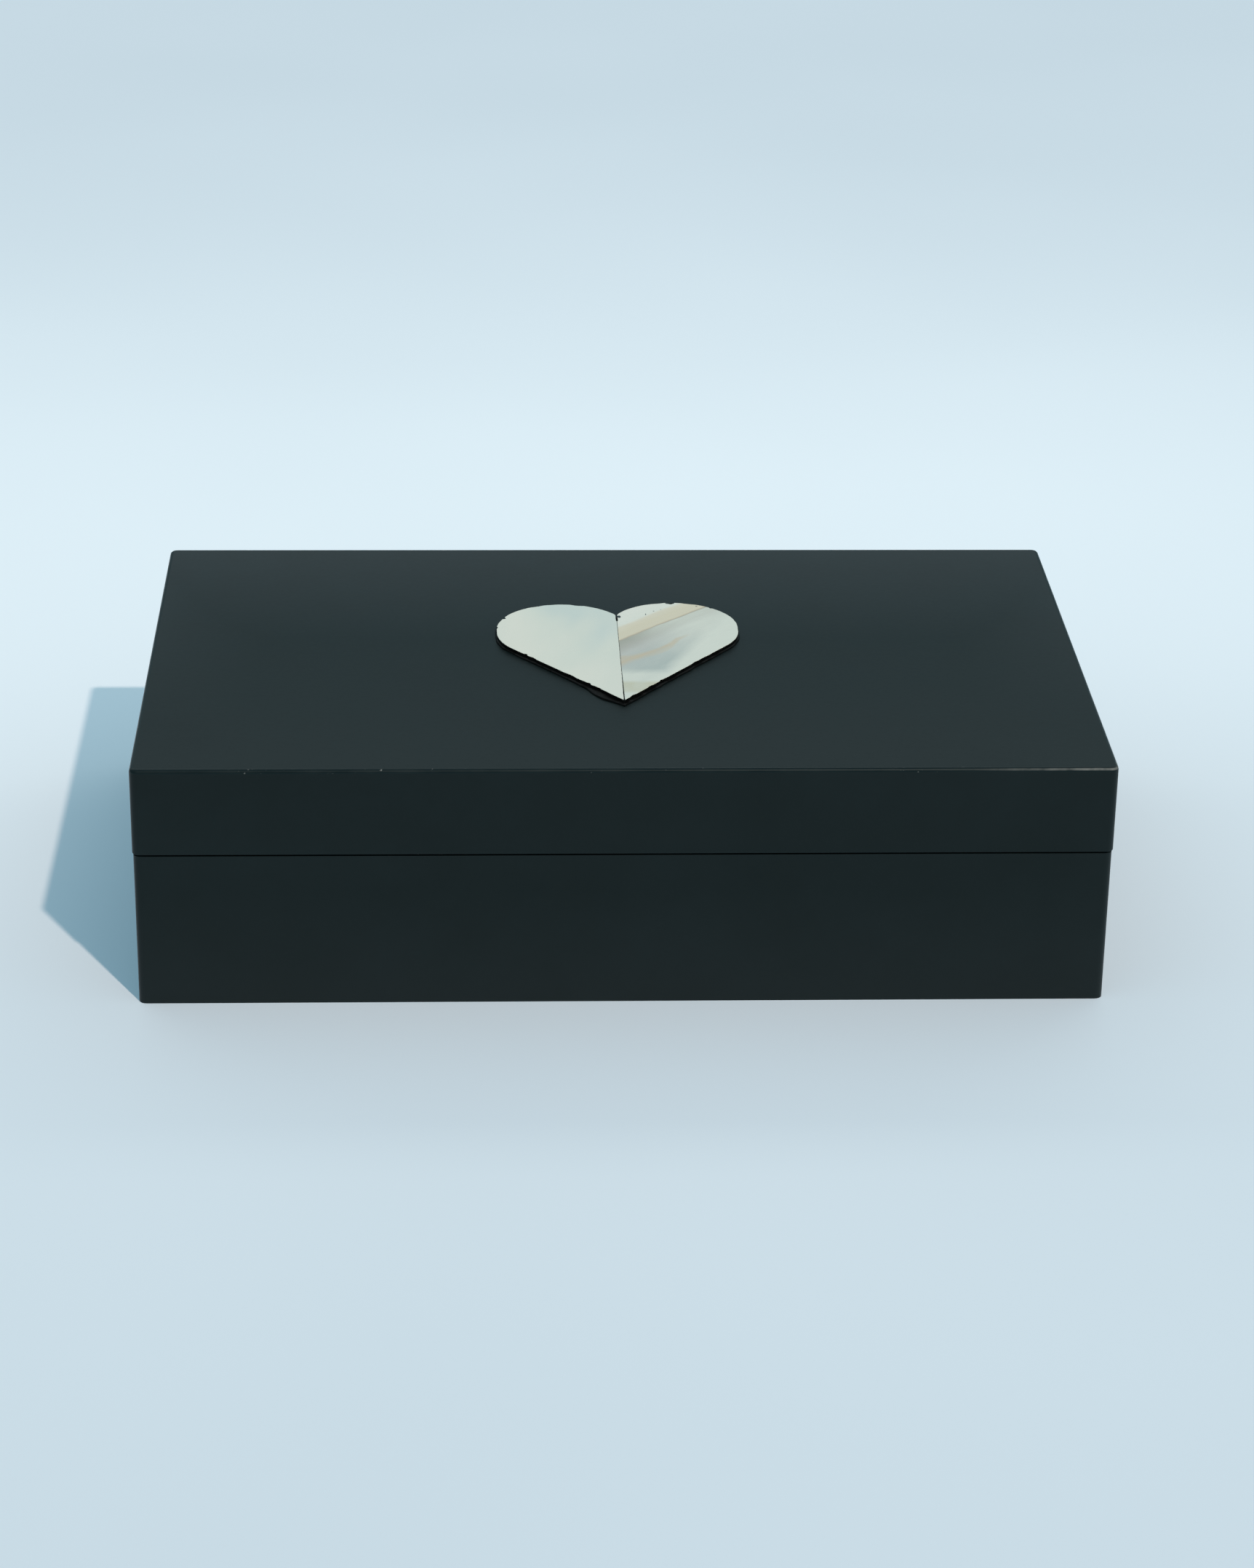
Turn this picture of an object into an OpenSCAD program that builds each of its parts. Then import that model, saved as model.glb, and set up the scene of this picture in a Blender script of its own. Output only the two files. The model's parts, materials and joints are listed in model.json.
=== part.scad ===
// Wind up music box: a lined keepsake case with a hinged lid and a pinned-cylinder movement.
// Origin at the bottom centre of the case, +X to the right, +Y to the hinged back, +Z up.

/* [Case] */
// Width of the base box, outside
case_w = 249.5; // [200:0.5:320]
// Depth of the base box, outside
case_d = 155.5; // [140:0.5:220]
// Height of the base box
base_h = 41.8; // [41:0.1:70]
// Height of the lid, without the heart
lid_h = 23.5; // [15:0.1:40]
// Gap of the seam between base and lid
seam_gap = 0.5; // [0.4:0.05:1]
// How far the lid stands out past the base on each side
lid_overhang = 0.25; // [0:0.05:1]
// Thickness of the walls and the lid rails
wall_t = 9; // [8:0.5:12]
// Rounding of the upright corners
corner_r = 2; // [0.5:0.1:4]

/* [Floor and partitions] */
// Height of the open recess under the bottom panel
recess_h = 12; // [11.5:0.5:16]
// Thickness of the bottom panel
floor_t = 4; // [3:0.5:5]
// Depth of the groove that holds the bottom panel
groove_depth = 4; // [2:0.5:5]
// Thickness of the partitions
partition_t = 5; // [3:0.5:6]
// How far the partitions stay below the rim
partition_drop = 1; // [0.5:0.5:3]
// Width of the movement bay
bay_w = 61.75; // [61.5:0.25:75]
// Depth of the movement bay
bay_d = 65.75; // [60:0.25:75]

/* [Lining] */
// Thickness of the velvet-covered liner boards
liner_t = 1.5; // [1:0.1:3]
// Thickness of the floor pad
pad_t = 6; // [3:0.5:8]
// Diameter of a ring roll
roll_d = 12; // [8:0.5:14]
// Thickness of the pad under the lid panel
lid_pad_t = 3; // [2:0.5:6]
// Thickness of the lid panel
lid_panel_t = 5; // [3:0.5:8]

/* [Heart] */
// Radius of the left lobe
left_lobe_r = 18; // [12:0.1:22]
// Radius of the right lobe
right_lobe_r = 17.6; // [12:0.1:22]
// Distance of the left lobe's centre from the heart's centre line
left_lobe_x = 15; // [8:0.1:20]
// Distance of the right lobe's centre from the heart's centre line
right_lobe_x = 15.3; // [8:0.1:20]
// Left lobe's lower centre, measured back from the lid's centre
left_lobe_y = 10.2; // [5:0.1:25]
// Right lobe's lower centre, measured back from the lid's centre
right_lobe_y = 11.8; // [5:0.1:25]
// How much longer than wide each lobe is
lobe_rise = 2.6; // [0:0.1:6]
// Tip of the heart, measured forward from the lid's centre
tip_y = 36.9; // [25:0.1:50]
// Offset of the heart's centre line to the right
heart_x = 1; // [-5:0.1:5]
// Thickness of the shell halves
shell_t = 1.3; // [0.5:0.1:3]
// Thickness of the glue bed under the halves
glue_t = 0.2; // [0.1:0.05:0.5]
// How far the glue shows round the halves
glue_edge = 0.4; // [0:0.1:1]
// Width of the joint between the halves
heart_joint = 0.2; // [0.1:0.05:1]

/* [Hinges] */
// Distance of each hinge from the centre
hinge_x = 80; // [50:1:95]
// Length of a hinge
hinge_l = 30; // [20:1:40]
// Outer radius of the hinge barrel
knuckle_r = 2; // [1.6:0.1:2.2]
// Radius of the hinge pin
hinge_pin_r = 0.8; // [0.5:0.1:1]
// Distance of the hinge axis from the back of the lid
hinge_inset = 3.2; // [2.6:0.1:3.6]
// Thickness of a hinge leaf
leaf_t = 1; // [0.8:0.1:1.5]
// Opening angle of the lid
lid_open = 95; // [80:1:110]

/* [Movement] */
// Radius of the winding arbor
arbor_r = 2; // [1.5:0.1:2.4]
// Height of the cylinder axis above the bottom panel
cylinder_z = 11; // [10.8:0.1:12]
// Radius of the pinned drum
drum_r = 6.5; // [6:0.1:6.6]
// How far a pin stands out of the drum
pin_l = 0.5; // [0.3:0.1:0.5]
// Radius of the cylinder arbor
shaft_r = 1.25; // [0.8:0.05:1.4]
// Radius of the governor shaft and the fan spindle
pivot_r = 0.6; // [0.4:0.05:0.7]
// Number of comb teeth
notes = 18; // [12:1:18]
// Radius of the fan
fan_r = 4.5; // [3.5:0.1:4.6]

/* [Stop] */
// Radius of the plunger that the lid holds down
plunger_r = 1.2; // [0.8:0.1:1.4]
// Travel of the plunger
plunger_travel = 1.2; // [0.8:0.1:1.3]

/* [Hidden] */

$fn = 64;
eps = 0.01;

// Clearances
run_fit = 0.05;
hinge_fit = 0.03;
board_gap = 0.3;
panel_play = 0.2;
recess_clear = 0.3;
touch_gap = 0.1;
knuckle_gap = 0.15;

// Case
lid_w = case_w + 2 * lid_overhang;
lid_d = case_d + 2 * lid_overhang;
in_w = case_w - 2 * wall_t;
in_d = case_d - 2 * wall_t;
lid_in_w = lid_w - 2 * wall_t;
lid_in_d = lid_d - 2 * wall_t;
floor_z = recess_h + floor_t;
lid_z = base_h + seam_gap;
rail_h = lid_h - lid_panel_t;
panel_z = lid_z + rail_h;
top_z = lid_z + lid_h;
part_top = base_h - partition_drop;

// Movement bay and the two compartments
bay_x = in_w / 2 - bay_w;
bay_y = in_d / 2 - bay_d;
side_x = bay_x - partition_t;
front_y = bay_y - partition_t;
cover_t = 2;
cover_z = base_h - 3.5;
block_s = 6;
cover_screw_r = 1;
cover_head_r = 2;
cover_head_h = 0.9;

// Hinges
hinge_y = lid_d / 2 - hinge_inset;
hinge_z = base_h + seam_gap / 2;
chamfer_a = (lid_open + 0.5) / 2;
knuckles = 5;
knuckle_l = hinge_l / knuckles;
recess_r = knuckle_r + recess_clear;
leaf_front = case_d / 2 - wall_t + 0.5;
leaf_back = hinge_y - recess_r;
leaf_screw_x = hinge_l / 3;
leaf_head_r = 1.3;
leaf_head_h = 0.6;
leaf_shank_r = 0.7;
leaf_screw_l = 8;

// Movement: everything is placed from the winding arbor's axis on the bottom panel
wind_x = in_w / 2 - 43.25;
wind_y = in_d / 2 - 33.75;
bed_left = -14;
bed_right = 38.2;
bed_front = -22;
bed_back = 24;
bed_t = 2.5;
bed_screw_r = 1.2;
bed_head_r = 2.4;
bed_screws = [[-11, -19], [36.4, -19], [-11, 21], [20, 21]];
bush_r = arbor_r + 1.5;
bush_flange_r = arbor_r + 3;
bush_flange_t = 0.4;

// Gear teeth
pressure = 28;
addendum = 0.8;
dedendum = 1.1;
backlash = 0.12;
crown_m = 0.6;
crown_teeth = 40;
crown_pinion_teeth = 10;
crown_r = crown_m * crown_teeth / 2;
crown_pitch_z = cylinder_z - crown_m * crown_pinion_teeth / 2;
crown_face = 1.4;
crown_backlash = 0.2;
train_m = 0.5;
cylinder_teeth = 40;
governor_pinion_teeth = 8;
worm_wheel_teeth = 16;
governor_y = train_m * (cylinder_teeth + governor_pinion_teeth) / 2;
worm_r = 1.4;
worm_wheel_r = train_m * worm_wheel_teeth / 2;
spindle_y = governor_y + worm_wheel_r + worm_r;
spindle_x = 29.5;
worm_lead = PI * train_m;
worm_l = 6;

// Spring barrel
barrel_z = bed_t + bush_flange_t + touch_gap;
barrel_r = 10.4;
barrel_wall = 0.8;
barrel_top = barrel_z + 10.2;
cap_t = 0.8;
crown_top = crown_pitch_z - dedendum * crown_m;
crown_disc_t = 1.3;
crown_disc_r = 13.3;
spring_inner = arbor_r + 0.4;
spring_band = 0.3;
spring_outer = barrel_r - barrel_wall - 0.2 - spring_band;
spring_turns = 8;
clip_t = 0.6;

// Winding key
key_low = 1.2;
key_hub_r = arbor_r + 1.2;
key_hub_top = recess_h - 0.5;
key_hub_low = key_hub_top - 5.5;
key_wing_r = 4.2;
key_wing_x = 7;
key_wing_t = 2;
key_eye_r = 1.8;

// Cylinder and comb
pinion_x = 11.1;
pinion_l = 1.8;
bracket_x = [13.9, 36];
bracket_t = 1.3;
bracket_half = 4;
drum_x = 15.8;
drum_l = 18;
drum_wall = 0.6;
gear_x = 34.2;
gear_l = 1.2;
shaft_start = 10.9;
shaft_end = 38;
tip_y_comb = -(drum_r + pin_l + touch_gap);
comb_t = 0.8;
comb_z = cylinder_z - comb_t / 2;
note_pitch = drum_l / notes;
tooth_w = note_pitch * 0.7;
tooth_long = 11;
tooth_short = 6.5;
comb_left = drum_x - 0.6;
comb_right = drum_x + drum_l + 0.4;
comb_screw_y = bed_front + 1.9;
comb_screw_r = 0.8;
comb_head_r = 1.5;
comb_head_h = 0.9;
pins_per_note = 4;
cyl_pin_r = 0.18;

// Governor
cheek_t = 1.2;
frame_left = 26;
frame_right = 37.6;
frame_front = governor_y - 2.5;
frame_back = spindle_y + 3.1;
frame_base_t = 1.2;
bridge_z = cylinder_z + 3.5;
bridge_front = governor_y + 3.2;
bridge_right = spindle_x + 2.2;
governor_screws_xy = [[33.5, governor_y - 0.5], [33.5, spindle_y + 0.8]];
disc_z = bridge_z + cheek_t + 1.5;
disc_t = 0.8;
fan_h = 3.2;

// Stop lever and plunger
plunger_x = 43.25 + 2.2;
lever_x = 43.25 - 3.75;
lever_z = disc_z - 1.2;
lever_hub_r = 1.3;
lever_half = 0.8;
tail_r = 0.7;
shoe_x = spindle_x + fan_r - 1.1;
shoe_l = 1;
lever_gap = 0.1;
ear_t = 0.85;
ear_half = lever_half + 0.25;
post_w = 2.2;
slot_low = lever_z - 5;
slot_high = lever_z + tail_r + plunger_travel + 0.4;
slot_half = 1.25;
plunger_low = lever_z + tail_r + lever_gap;

// 2D helpers

module rounded_rect(w, d, r) {
    square([w - 2 * r, d], center = true);
    square([w, d - 2 * r], center = true);
    for (sx = [-1, 1], sy = [-1, 1])
        translate([sx * (w / 2 - r), sy * (d / 2 - r)])
            circle(r);
}

// One side of a mitred frame: 0 front, 1 right, 2 back, 3 left
module side_outline(w, d, t, side) {
    x = w / 2;
    y = d / 2;
    corners = [[[-x, -y], [x, -y], [x - t, t - y], [t - x, t - y]],
               [[x, -y], [x, y], [x - t, y - t], [x - t, t - y]],
               [[x, y], [-x, y], [t - x, y - t], [x - t, y - t]],
               [[-x, y], [-x, -y], [t - x, t - y], [t - x, y - t]]];
    polygon(corners[side]);
}

module frame_side(w, d, h, side) {
    linear_extrude(h)
        intersection() {
            rounded_rect(w, d, corner_r);
            side_outline(w, d, wall_t, side);
        }
}

// One side of the heart, from where its straight edge meets the lobe up to the lobe's upper centre
function lobe_side(side, x, y, lobe_r, grow) =
    let (r = lobe_r + grow,
         reach = y + tip_y,
         edge_a = atan(x / reach) + asin(lobe_r / norm([x, reach])),
         outer = side * (x + r))
    [[side * (x + r * cos(edge_a)), y - r * sin(edge_a)],
     [outer, y],
     [outer, y + lobe_rise],
     [side * x, y + lobe_rise]];

module lobe(side, x, y, r) {
    for (dy = [0, lobe_rise])
        translate([side * x, y + dy])
            circle(r);
}

// The heart, grown by a margin all round, with the lobes on the given sides
module heart_outline(grow, sides) {
    right = lobe_side(1, right_lobe_x, right_lobe_y, right_lobe_r, grow);
    left = lobe_side(-1, left_lobe_x, left_lobe_y, left_lobe_r, grow);
    tip = [0, -tip_y - grow * tip_y / left_lobe_x];
    polygon([tip, right[0], right[1], right[2], right[3], left[3], left[2], left[1], left[0]]);
    for (side = sides) {
        if (side > 0)
            lobe(side, right_lobe_x, right_lobe_y, right_lobe_r + grow);
        else
            lobe(side, left_lobe_x, left_lobe_y, left_lobe_r + grow);
    }
}

// Gear outline with straight-sided involute flanks, a tooth centred on +X
function inv(a) = tan(a) * 180 / PI - a;
function flank_angle(r, base, pitch_half, a0) =
    pitch_half + inv(a0) - (r > base ? inv(acos(base / r)) : 0);
function gear_points(m, n, slack) =
    let (r = m * n / 2,
         base = r * cos(pressure),
         half = 90 / n - slack / 2 / r * 90 / PI,
         low = r - dedendum * m,
         high = r + addendum * m,
         start = max(low, base),
         radii = [low, start, (start + r) / 2, r, (r + high) / 2, high])
    [for (i = [0 : n - 1]) for (side = [-1, 1]) for (k = [0 : len(radii) - 1])
        let (rr = radii[side < 0 ? k : len(radii) - 1 - k],
             a = i * 360 / n + side * flank_angle(rr, base, half, pressure))
        rr * [cos(a), sin(a)]];

// 3D helpers

// A length along X with its profile given as [y, z]
module along_x(length) {
    rotate([90, 0, 90])
        linear_extrude(length, center = true)
            children();
}

module x_cylinder(r, length) {
    rotate([0, 90, 0])
        cylinder(r = r, h = length);
}

module y_cylinder(r, length) {
    rotate([90, 0, 0])
        cylinder(r = r, h = length, center = true);
}

module box(low, high) {
    translate(low)
        cube(high - low);
}

// Screw with its head's flat side up at z = 0, pointing down
module countersunk_screw(head_r, head_h, shank_r, length) {
    translate([0, 0, -head_h])
        cylinder(r1 = shank_r, r2 = head_r, h = head_h);
    translate([0, 0, -length])
        cylinder(r = shank_r, h = length - head_h / 2);
}

// Screw with a flat head standing on z = 0
module pan_screw(head_r, head_h, shank_r, length) {
    cylinder(r = head_r, h = head_h);
    translate([0, 0, -length])
        cylinder(r = shank_r, h = length + eps);
}

module at_movement() {
    translate([wind_x, wind_y, floor_z])
        children();
}

// Case

module hinge_v_cut(up) {
    reach = 2 * hinge_inset;
    drop = reach * tan(chamfer_a);
    translate([0, hinge_y, hinge_z])
        along_x(lid_w + 10)
            polygon([[0, 0], [reach, up * drop], [reach, -up * base_h], [0, -up * base_h]]);
}

module hinge_pockets() {
    for (sx = [-1, 1])
        translate([sx * hinge_x, hinge_y, hinge_z]) {
            translate([-hinge_l / 2 - recess_clear, 0, 0])
                x_cylinder(recess_r, hinge_l + 2 * recess_clear);
        }
}

// The flat part of a leaf, from its front edge to the given back edge
module leaf_plate(up, back) {
    low_z = up > 0 ? lid_z : base_h - leaf_t;
    box([-hinge_l / 2, leaf_front, low_z], [hinge_l / 2, back, low_z + leaf_t]);
}

module leaf_screws(up) {
    for (sx = [-1, 1])
        translate([sx * leaf_screw_x, (leaf_front + leaf_back) / 2, up > 0 ? lid_z : base_h])
            rotate([up > 0 ? 180 : 0, 0, 0])
                countersunk_screw(leaf_head_r, leaf_head_h, leaf_shank_r, leaf_screw_l);
}

module each_hinge() {
    for (sx = [-1, 1])
        translate([sx * hinge_x, 0, 0])
            children();
}

module floor_groove() {
    w = in_w + 2 * groove_depth;
    d = in_d + 2 * groove_depth;
    box([-w / 2, -d / 2, recess_h], [w / 2, d / 2, floor_z]);
}

module base_wall(side) {
    difference() {
        frame_side(case_w, case_d, base_h, side);
        floor_groove();
        if (side > 0)
            hinge_v_cut(-1);
        children();
    }
}

module lid_rail(side) {
    difference() {
        translate([0, 0, lid_z])
            frame_side(lid_w, lid_d, rail_h, side);
        if (side > 0)
            hinge_v_cut(1);
        children();
    }
}

module base_front_wall() {
    color("#1c2428")
        base_wall(0);
}

module base_back_wall() {
    color("#1c2428")
        base_wall(2) {
            hinge_pockets();
            each_hinge()
                leaf_plate(-1, hinge_y);
            each_hinge()
                leaf_screws(-1);
        }
}

module base_left_wall() {
    color("#1c2428")
        base_wall(3);
}

module base_right_wall() {
    color("#1c2428")
        base_wall(1)
            at_movement() {
                translate([plunger_x, spindle_y, slot_low + 1])
                    cylinder(r = plunger_r + run_fit, h = base_h);
                box([plunger_x - 5, spindle_y - slot_half, slot_low],
                    [plunger_x + slot_half, spindle_y + slot_half, slot_high]);
            }
}

module bottom_panel() {
    w = in_w + 2 * (groove_depth - panel_play);
    d = in_d + 2 * (groove_depth - panel_play);
    color("#2a2420")
        difference() {
            box([-w / 2, -d / 2, recess_h], [w / 2, d / 2, floor_z]);
            at_movement()
                translate([0, 0, -2 * floor_t])
                    cylinder(r = bush_r + 0.5, h = 3 * floor_t);
            bedplate_screw_set();
        }
}

module bay_side_partition() {
    color("#2a2420")
        box([side_x, -in_d / 2, floor_z], [bay_x, in_d / 2, part_top]);
}

module bay_front_partition() {
    color("#2a2420")
        box([bay_x, front_y, floor_z], [in_w / 2, bay_y, part_top]);
}

module rim_bumpers() {
    color("#202020")
        for (sx = [-1, 1])
            translate([sx * (case_w - wall_t) / 2, (wall_t - case_d) / 2, base_h])
                cylinder(r = wall_t / 3, h = seam_gap - touch_gap);
}

// Lid

module lid_top_panel() {
    color("#2d383e")
        translate([0, 0, panel_z])
            linear_extrude(lid_panel_t)
                rounded_rect(lid_w, lid_d, corner_r);
}

module lid_front_rail() {
    color("#1c2428")
        lid_rail(0);
}

module lid_back_rail() {
    color("#1c2428")
        lid_rail(2) {
            hinge_pockets();
            each_hinge()
                leaf_plate(1, hinge_y);
            each_hinge()
                leaf_screws(1);
        }
}

module lid_left_rail() {
    color("#1c2428")
        lid_rail(3);
}

module lid_right_rail() {
    color("#1c2428")
        lid_rail(1);
}

module heart_half(side) {
    translate([heart_x, 0, top_z + glue_t])
        linear_extrude(shell_t)
            intersection() {
                heart_outline(0, [side]);
                translate([side * (heart_joint / 2 + 50), 0])
                    square([100, 200], center = true);
            }
}

module heart_left_half() {
    color("#cdd0c6")
        heart_half(-1);
}

module heart_right_half() {
    color("#c9c4ae")
        heart_half(1);
}

module heart_glue_bed() {
    color("#101010")
        translate([heart_x, 0, top_z])
            linear_extrude(glue_t)
                heart_outline(glue_edge, [-1, 1]);
}

// Lining

// Four boards that line a compartment with the given low and high corners
module lining(low, high) {
    inset = liner_t + touch_gap;
    box(low, [low.x + liner_t, high.y, high.z]);
    box([high.x - liner_t, low.y, low.z], high);
    box([low.x + inset, low.y, low.z], [high.x - inset, low.y + liner_t, high.z]);
    box([low.x + inset, high.y - liner_t, low.z], [high.x - inset, high.y, high.z]);
}

module well_liner_boards() {
    color("#5c1220")
        lining([-in_w / 2, -in_d / 2, floor_z], [side_x, in_d / 2, part_top]);
}

module well_floor_pad() {
    edge = liner_t + board_gap;
    color("#5c1220")
        box([-in_w / 2 + edge, -in_d / 2 + edge, floor_z], [side_x - edge, in_d / 2 - edge, floor_z + pad_t]);
}

module ring_liner_boards() {
    color("#5c1220")
        lining([bay_x, -in_d / 2, floor_z], [in_w / 2, front_y, part_top]);
}

module ring_rolls() {
    low_x = bay_x + liner_t + board_gap;
    high_x = in_w / 2 - liner_t - board_gap;
    low_y = -in_d / 2 + liner_t;
    high_y = front_y - liner_t;
    count = floor((high_y - low_y) / (roll_d + board_gap));
    pitch = (high_y - low_y) / count;
    color("#5c1220")
        for (i = [0 : count - 1])
            translate([low_x, low_y + (i + 0.5) * pitch, floor_z + roll_d / 2])
                x_cylinder(roll_d / 2, high_x - low_x);
}

module lid_liner_boards() {
    color("#5c1220")
        lining([-lid_in_w / 2, -lid_in_d / 2, lid_z + 0.5], [lid_in_w / 2, lid_in_d / 2, panel_z]);
}

module lid_pad() {
    x = lid_in_w / 2 - liner_t - board_gap;
    y = lid_in_d / 2 - liner_t - board_gap;
    color("#5c1220")
        box([-x, -y, panel_z - lid_pad_t], [x, y, panel_z]);
}

// Hinges

// Knuckle i of a hinge, with the tab that joins it to its leaf
module knuckle(i, up) {
    start = -hinge_l / 2 + i * knuckle_l + knuckle_gap / 2;
    length = knuckle_l - knuckle_gap;
    low_z = up > 0 ? lid_z : base_h - leaf_t;
    translate([start, hinge_y, hinge_z])
        x_cylinder(knuckle_r, length);
    box([start, leaf_back - eps, low_z], [start + length, hinge_y - hinge_pin_r, low_z + leaf_t]);
}

module hinge_leaf(up) {
    first = up > 0 ? 1 : 0;
    bore = hinge_pin_r + (up > 0 ? hinge_fit : 0);
    difference() {
        union() {
            leaf_plate(up, leaf_back);
            for (i = [first : 2 : knuckles - 1])
                knuckle(i, up);
        }
        translate([-hinge_l, hinge_y, hinge_z])
            x_cylinder(bore, 2 * hinge_l);
        leaf_screws(up);
    }
}

module hinge_pin() {
    translate([-hinge_l / 2, hinge_y, hinge_z])
        x_cylinder(hinge_pin_r, hinge_l);
}

module hinge_left_lower_leaf() {
    color("#c8a24a")
        translate([-hinge_x, 0, 0])
            hinge_leaf(-1);
}

module hinge_left_upper_leaf() {
    color("#c8a24a")
        translate([-hinge_x, 0, 0])
            hinge_leaf(1);
}

module hinge_left_pin() {
    color("#b8b8b8")
        translate([-hinge_x, 0, 0])
            hinge_pin();
}

module hinge_right_lower_leaf() {
    color("#c8a24a")
        translate([hinge_x, 0, 0])
            hinge_leaf(-1);
}

module hinge_right_upper_leaf() {
    color("#c8a24a")
        translate([hinge_x, 0, 0])
            hinge_leaf(1);
}

module hinge_right_pin() {
    color("#b8b8b8")
        translate([hinge_x, 0, 0])
            hinge_pin();
}

module hinge_lower_screws() {
    color("#c8a24a")
        each_hinge()
            leaf_screws(-1);
}

module hinge_upper_screws() {
    color("#c8a24a")
        each_hinge()
            leaf_screws(1);
}

// Movement cover

module at_block_centres() {
    inset = block_s / 2;
    for (x = [bay_x + inset, in_w / 2 - inset], y = [bay_y + inset, in_d / 2 - inset])
        translate([x, y, 0])
            children();
}

module cover_screw_set() {
    at_block_centres()
        translate([0, 0, cover_z + cover_t])
            pan_screw(cover_head_r, cover_head_h, cover_screw_r, cover_t + 8);
}

module cover_corner_blocks() {
    color("#6b5138")
        difference() {
            at_block_centres()
                box([-block_s / 2, -block_s / 2, floor_z], [block_s / 2, block_s / 2, cover_z]);
            cover_screw_set();
        }
}

module movement_cover() {
    color("#d8e8ee80")
        difference() {
            box([bay_x + panel_play, bay_y + panel_play, cover_z],
                [in_w / 2 - panel_play, in_d / 2 - panel_play, cover_z + cover_t]);
            cover_screw_set();
        }
}

module cover_screws() {
    color("#c8a24a")
        cover_screw_set();
}

// Bedplate and winding

module comb_edge(set_back) {
    polygon([[comb_left, bed_front], [comb_right, bed_front],
             [comb_right, tip_y_comb - tooth_short - set_back],
             [comb_left, tip_y_comb - tooth_long - set_back]]);
}

module comb_screw_set() {
    for (i = [0 : 2])
        translate([comb_left + 2.5 + i * (comb_right - comb_left - 5) / 2, comb_screw_y, comb_z + comb_t])
            pan_screw(comb_head_r, comb_head_h, comb_screw_r, comb_t + 5);
}

module bedplate_screw_set() {
    at_movement() {
        for (p = bed_screws)
            translate([p.x, p.y, -floor_t])
                rotate([180, 0, 0])
                    countersunk_screw(bed_head_r, 1.4, bed_screw_r, floor_t + bed_t);
        translate([lever_x, spindle_y, -floor_t])
            rotate([180, 0, 0])
                countersunk_screw(1.6, 1, 0.8, floor_t + 6);
    }
}

module governor_screw_set() {
    for (p = governor_screws_xy)
        translate([p.x, p.y, bed_t + frame_base_t])
            pan_screw(1.4, 0.8, 0.7, frame_base_t + bed_t - 0.4);
}

module bracket_tenons() {
    for (x = bracket_x)
        box([x, -bracket_half / 2, 0], [x + bracket_t, bracket_half / 2, bed_t + eps]);
}

module bedplate() {
    tip_r = train_m * cylinder_teeth / 2 + addendum * train_m;
    slot_half_y = sqrt(pow(tip_r + 0.3, 2) - pow(cylinder_z - bed_t, 2));
    color("#a9adb0")
        difference() {
            at_movement()
                difference() {
                    union() {
                        box([bed_left, bed_front, 0], [bed_right, bed_back, bed_t]);
                        translate([0, 0, bed_t - eps])
                            linear_extrude(comb_z - bed_t + eps)
                                comb_edge(0.6);
                    }
                    translate([0, 0, -eps])
                        cylinder(r = bush_r, h = bed_t + 1);
                    box([gear_x - 0.4, -slot_half_y, -eps], [gear_x + gear_l + 0.4, slot_half_y, bed_t + 1]);
                    bracket_tenons();
                    comb_screw_set();
                    governor_screw_set();
                    translate([spindle_x, spindle_y, bed_t - 0.6])
                        cylinder(r = pivot_r + 0.3, h = 1);
                }
            bedplate_screw_set();
        }
}

module bedplate_screws() {
    color("#9a9a9a")
        bedplate_screw_set();
}

module arbor_bush() {
    color("#c8a24a")
        at_movement()
            difference() {
                union() {
                    cylinder(r = bush_r, h = bed_t);
                    translate([0, 0, bed_t])
                        cylinder(r = bush_flange_r, h = bush_flange_t);
                }
                translate([0, 0, -eps])
                    cylinder(r = arbor_r + run_fit, h = bed_t + 2);
            }
}

module winding_arbor() {
    low = key_hub_low + 1 - floor_z;
    color("#b0b0b0")
        at_movement()
            translate([0, 0, low])
                cylinder(r = arbor_r, h = barrel_top + cap_t + touch_gap + clip_t + 0.3 - low);
}

module winding_key() {
    color("#c8a24a")
        translate([wind_x, wind_y, 0])
            difference() {
                union() {
                    translate([0, 0, key_hub_low])
                        cylinder(r = key_hub_r, h = key_hub_top - key_hub_low);
                    for (sx = [-1, 1])
                        translate([sx * key_wing_x, 0, key_low + key_wing_r])
                            y_cylinder(key_wing_r, key_wing_t);
                    box([-key_wing_x, -key_wing_t / 2, key_low + 1.2],
                        [key_wing_x, key_wing_t / 2, key_low + 2 * key_wing_r - 1.2]);
                }
                for (sx = [-1, 1])
                    translate([sx * key_wing_x, 0, key_low + key_wing_r])
                        y_cylinder(key_eye_r, 2 * key_wing_t);
                translate([0, 0, key_hub_low + 1])
                    cylinder(r = arbor_r, h = recess_h);
            }
}

module arbor_clip() {
    color("#9a9a9a")
        at_movement()
            translate([0, 0, barrel_top + cap_t + touch_gap])
                difference() {
                    cylinder(r = arbor_r + 1.6, h = clip_t);
                    translate([0, 0, -eps])
                        cylinder(r = arbor_r, h = 1);
                }
}

// Spring barrel

module crown_teeth_ring() {
    tip = addendum * crown_m;
    root = dedendum * crown_m;
    half = PI * crown_m / 4 - crown_backlash / 2;
    slope = tan(pressure);
    for (i = [0 : crown_teeth - 1])
        rotate([0, 0, (i + 0.5) * 360 / crown_teeth])
            translate([crown_r, 0, crown_pitch_z])
                along_x(crown_face)
                    polygon([[-half - root * slope, -root - eps], [half + root * slope, -root - eps],
                             [half - tip * slope, tip], [tip * slope - half, tip]]);
}

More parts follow.
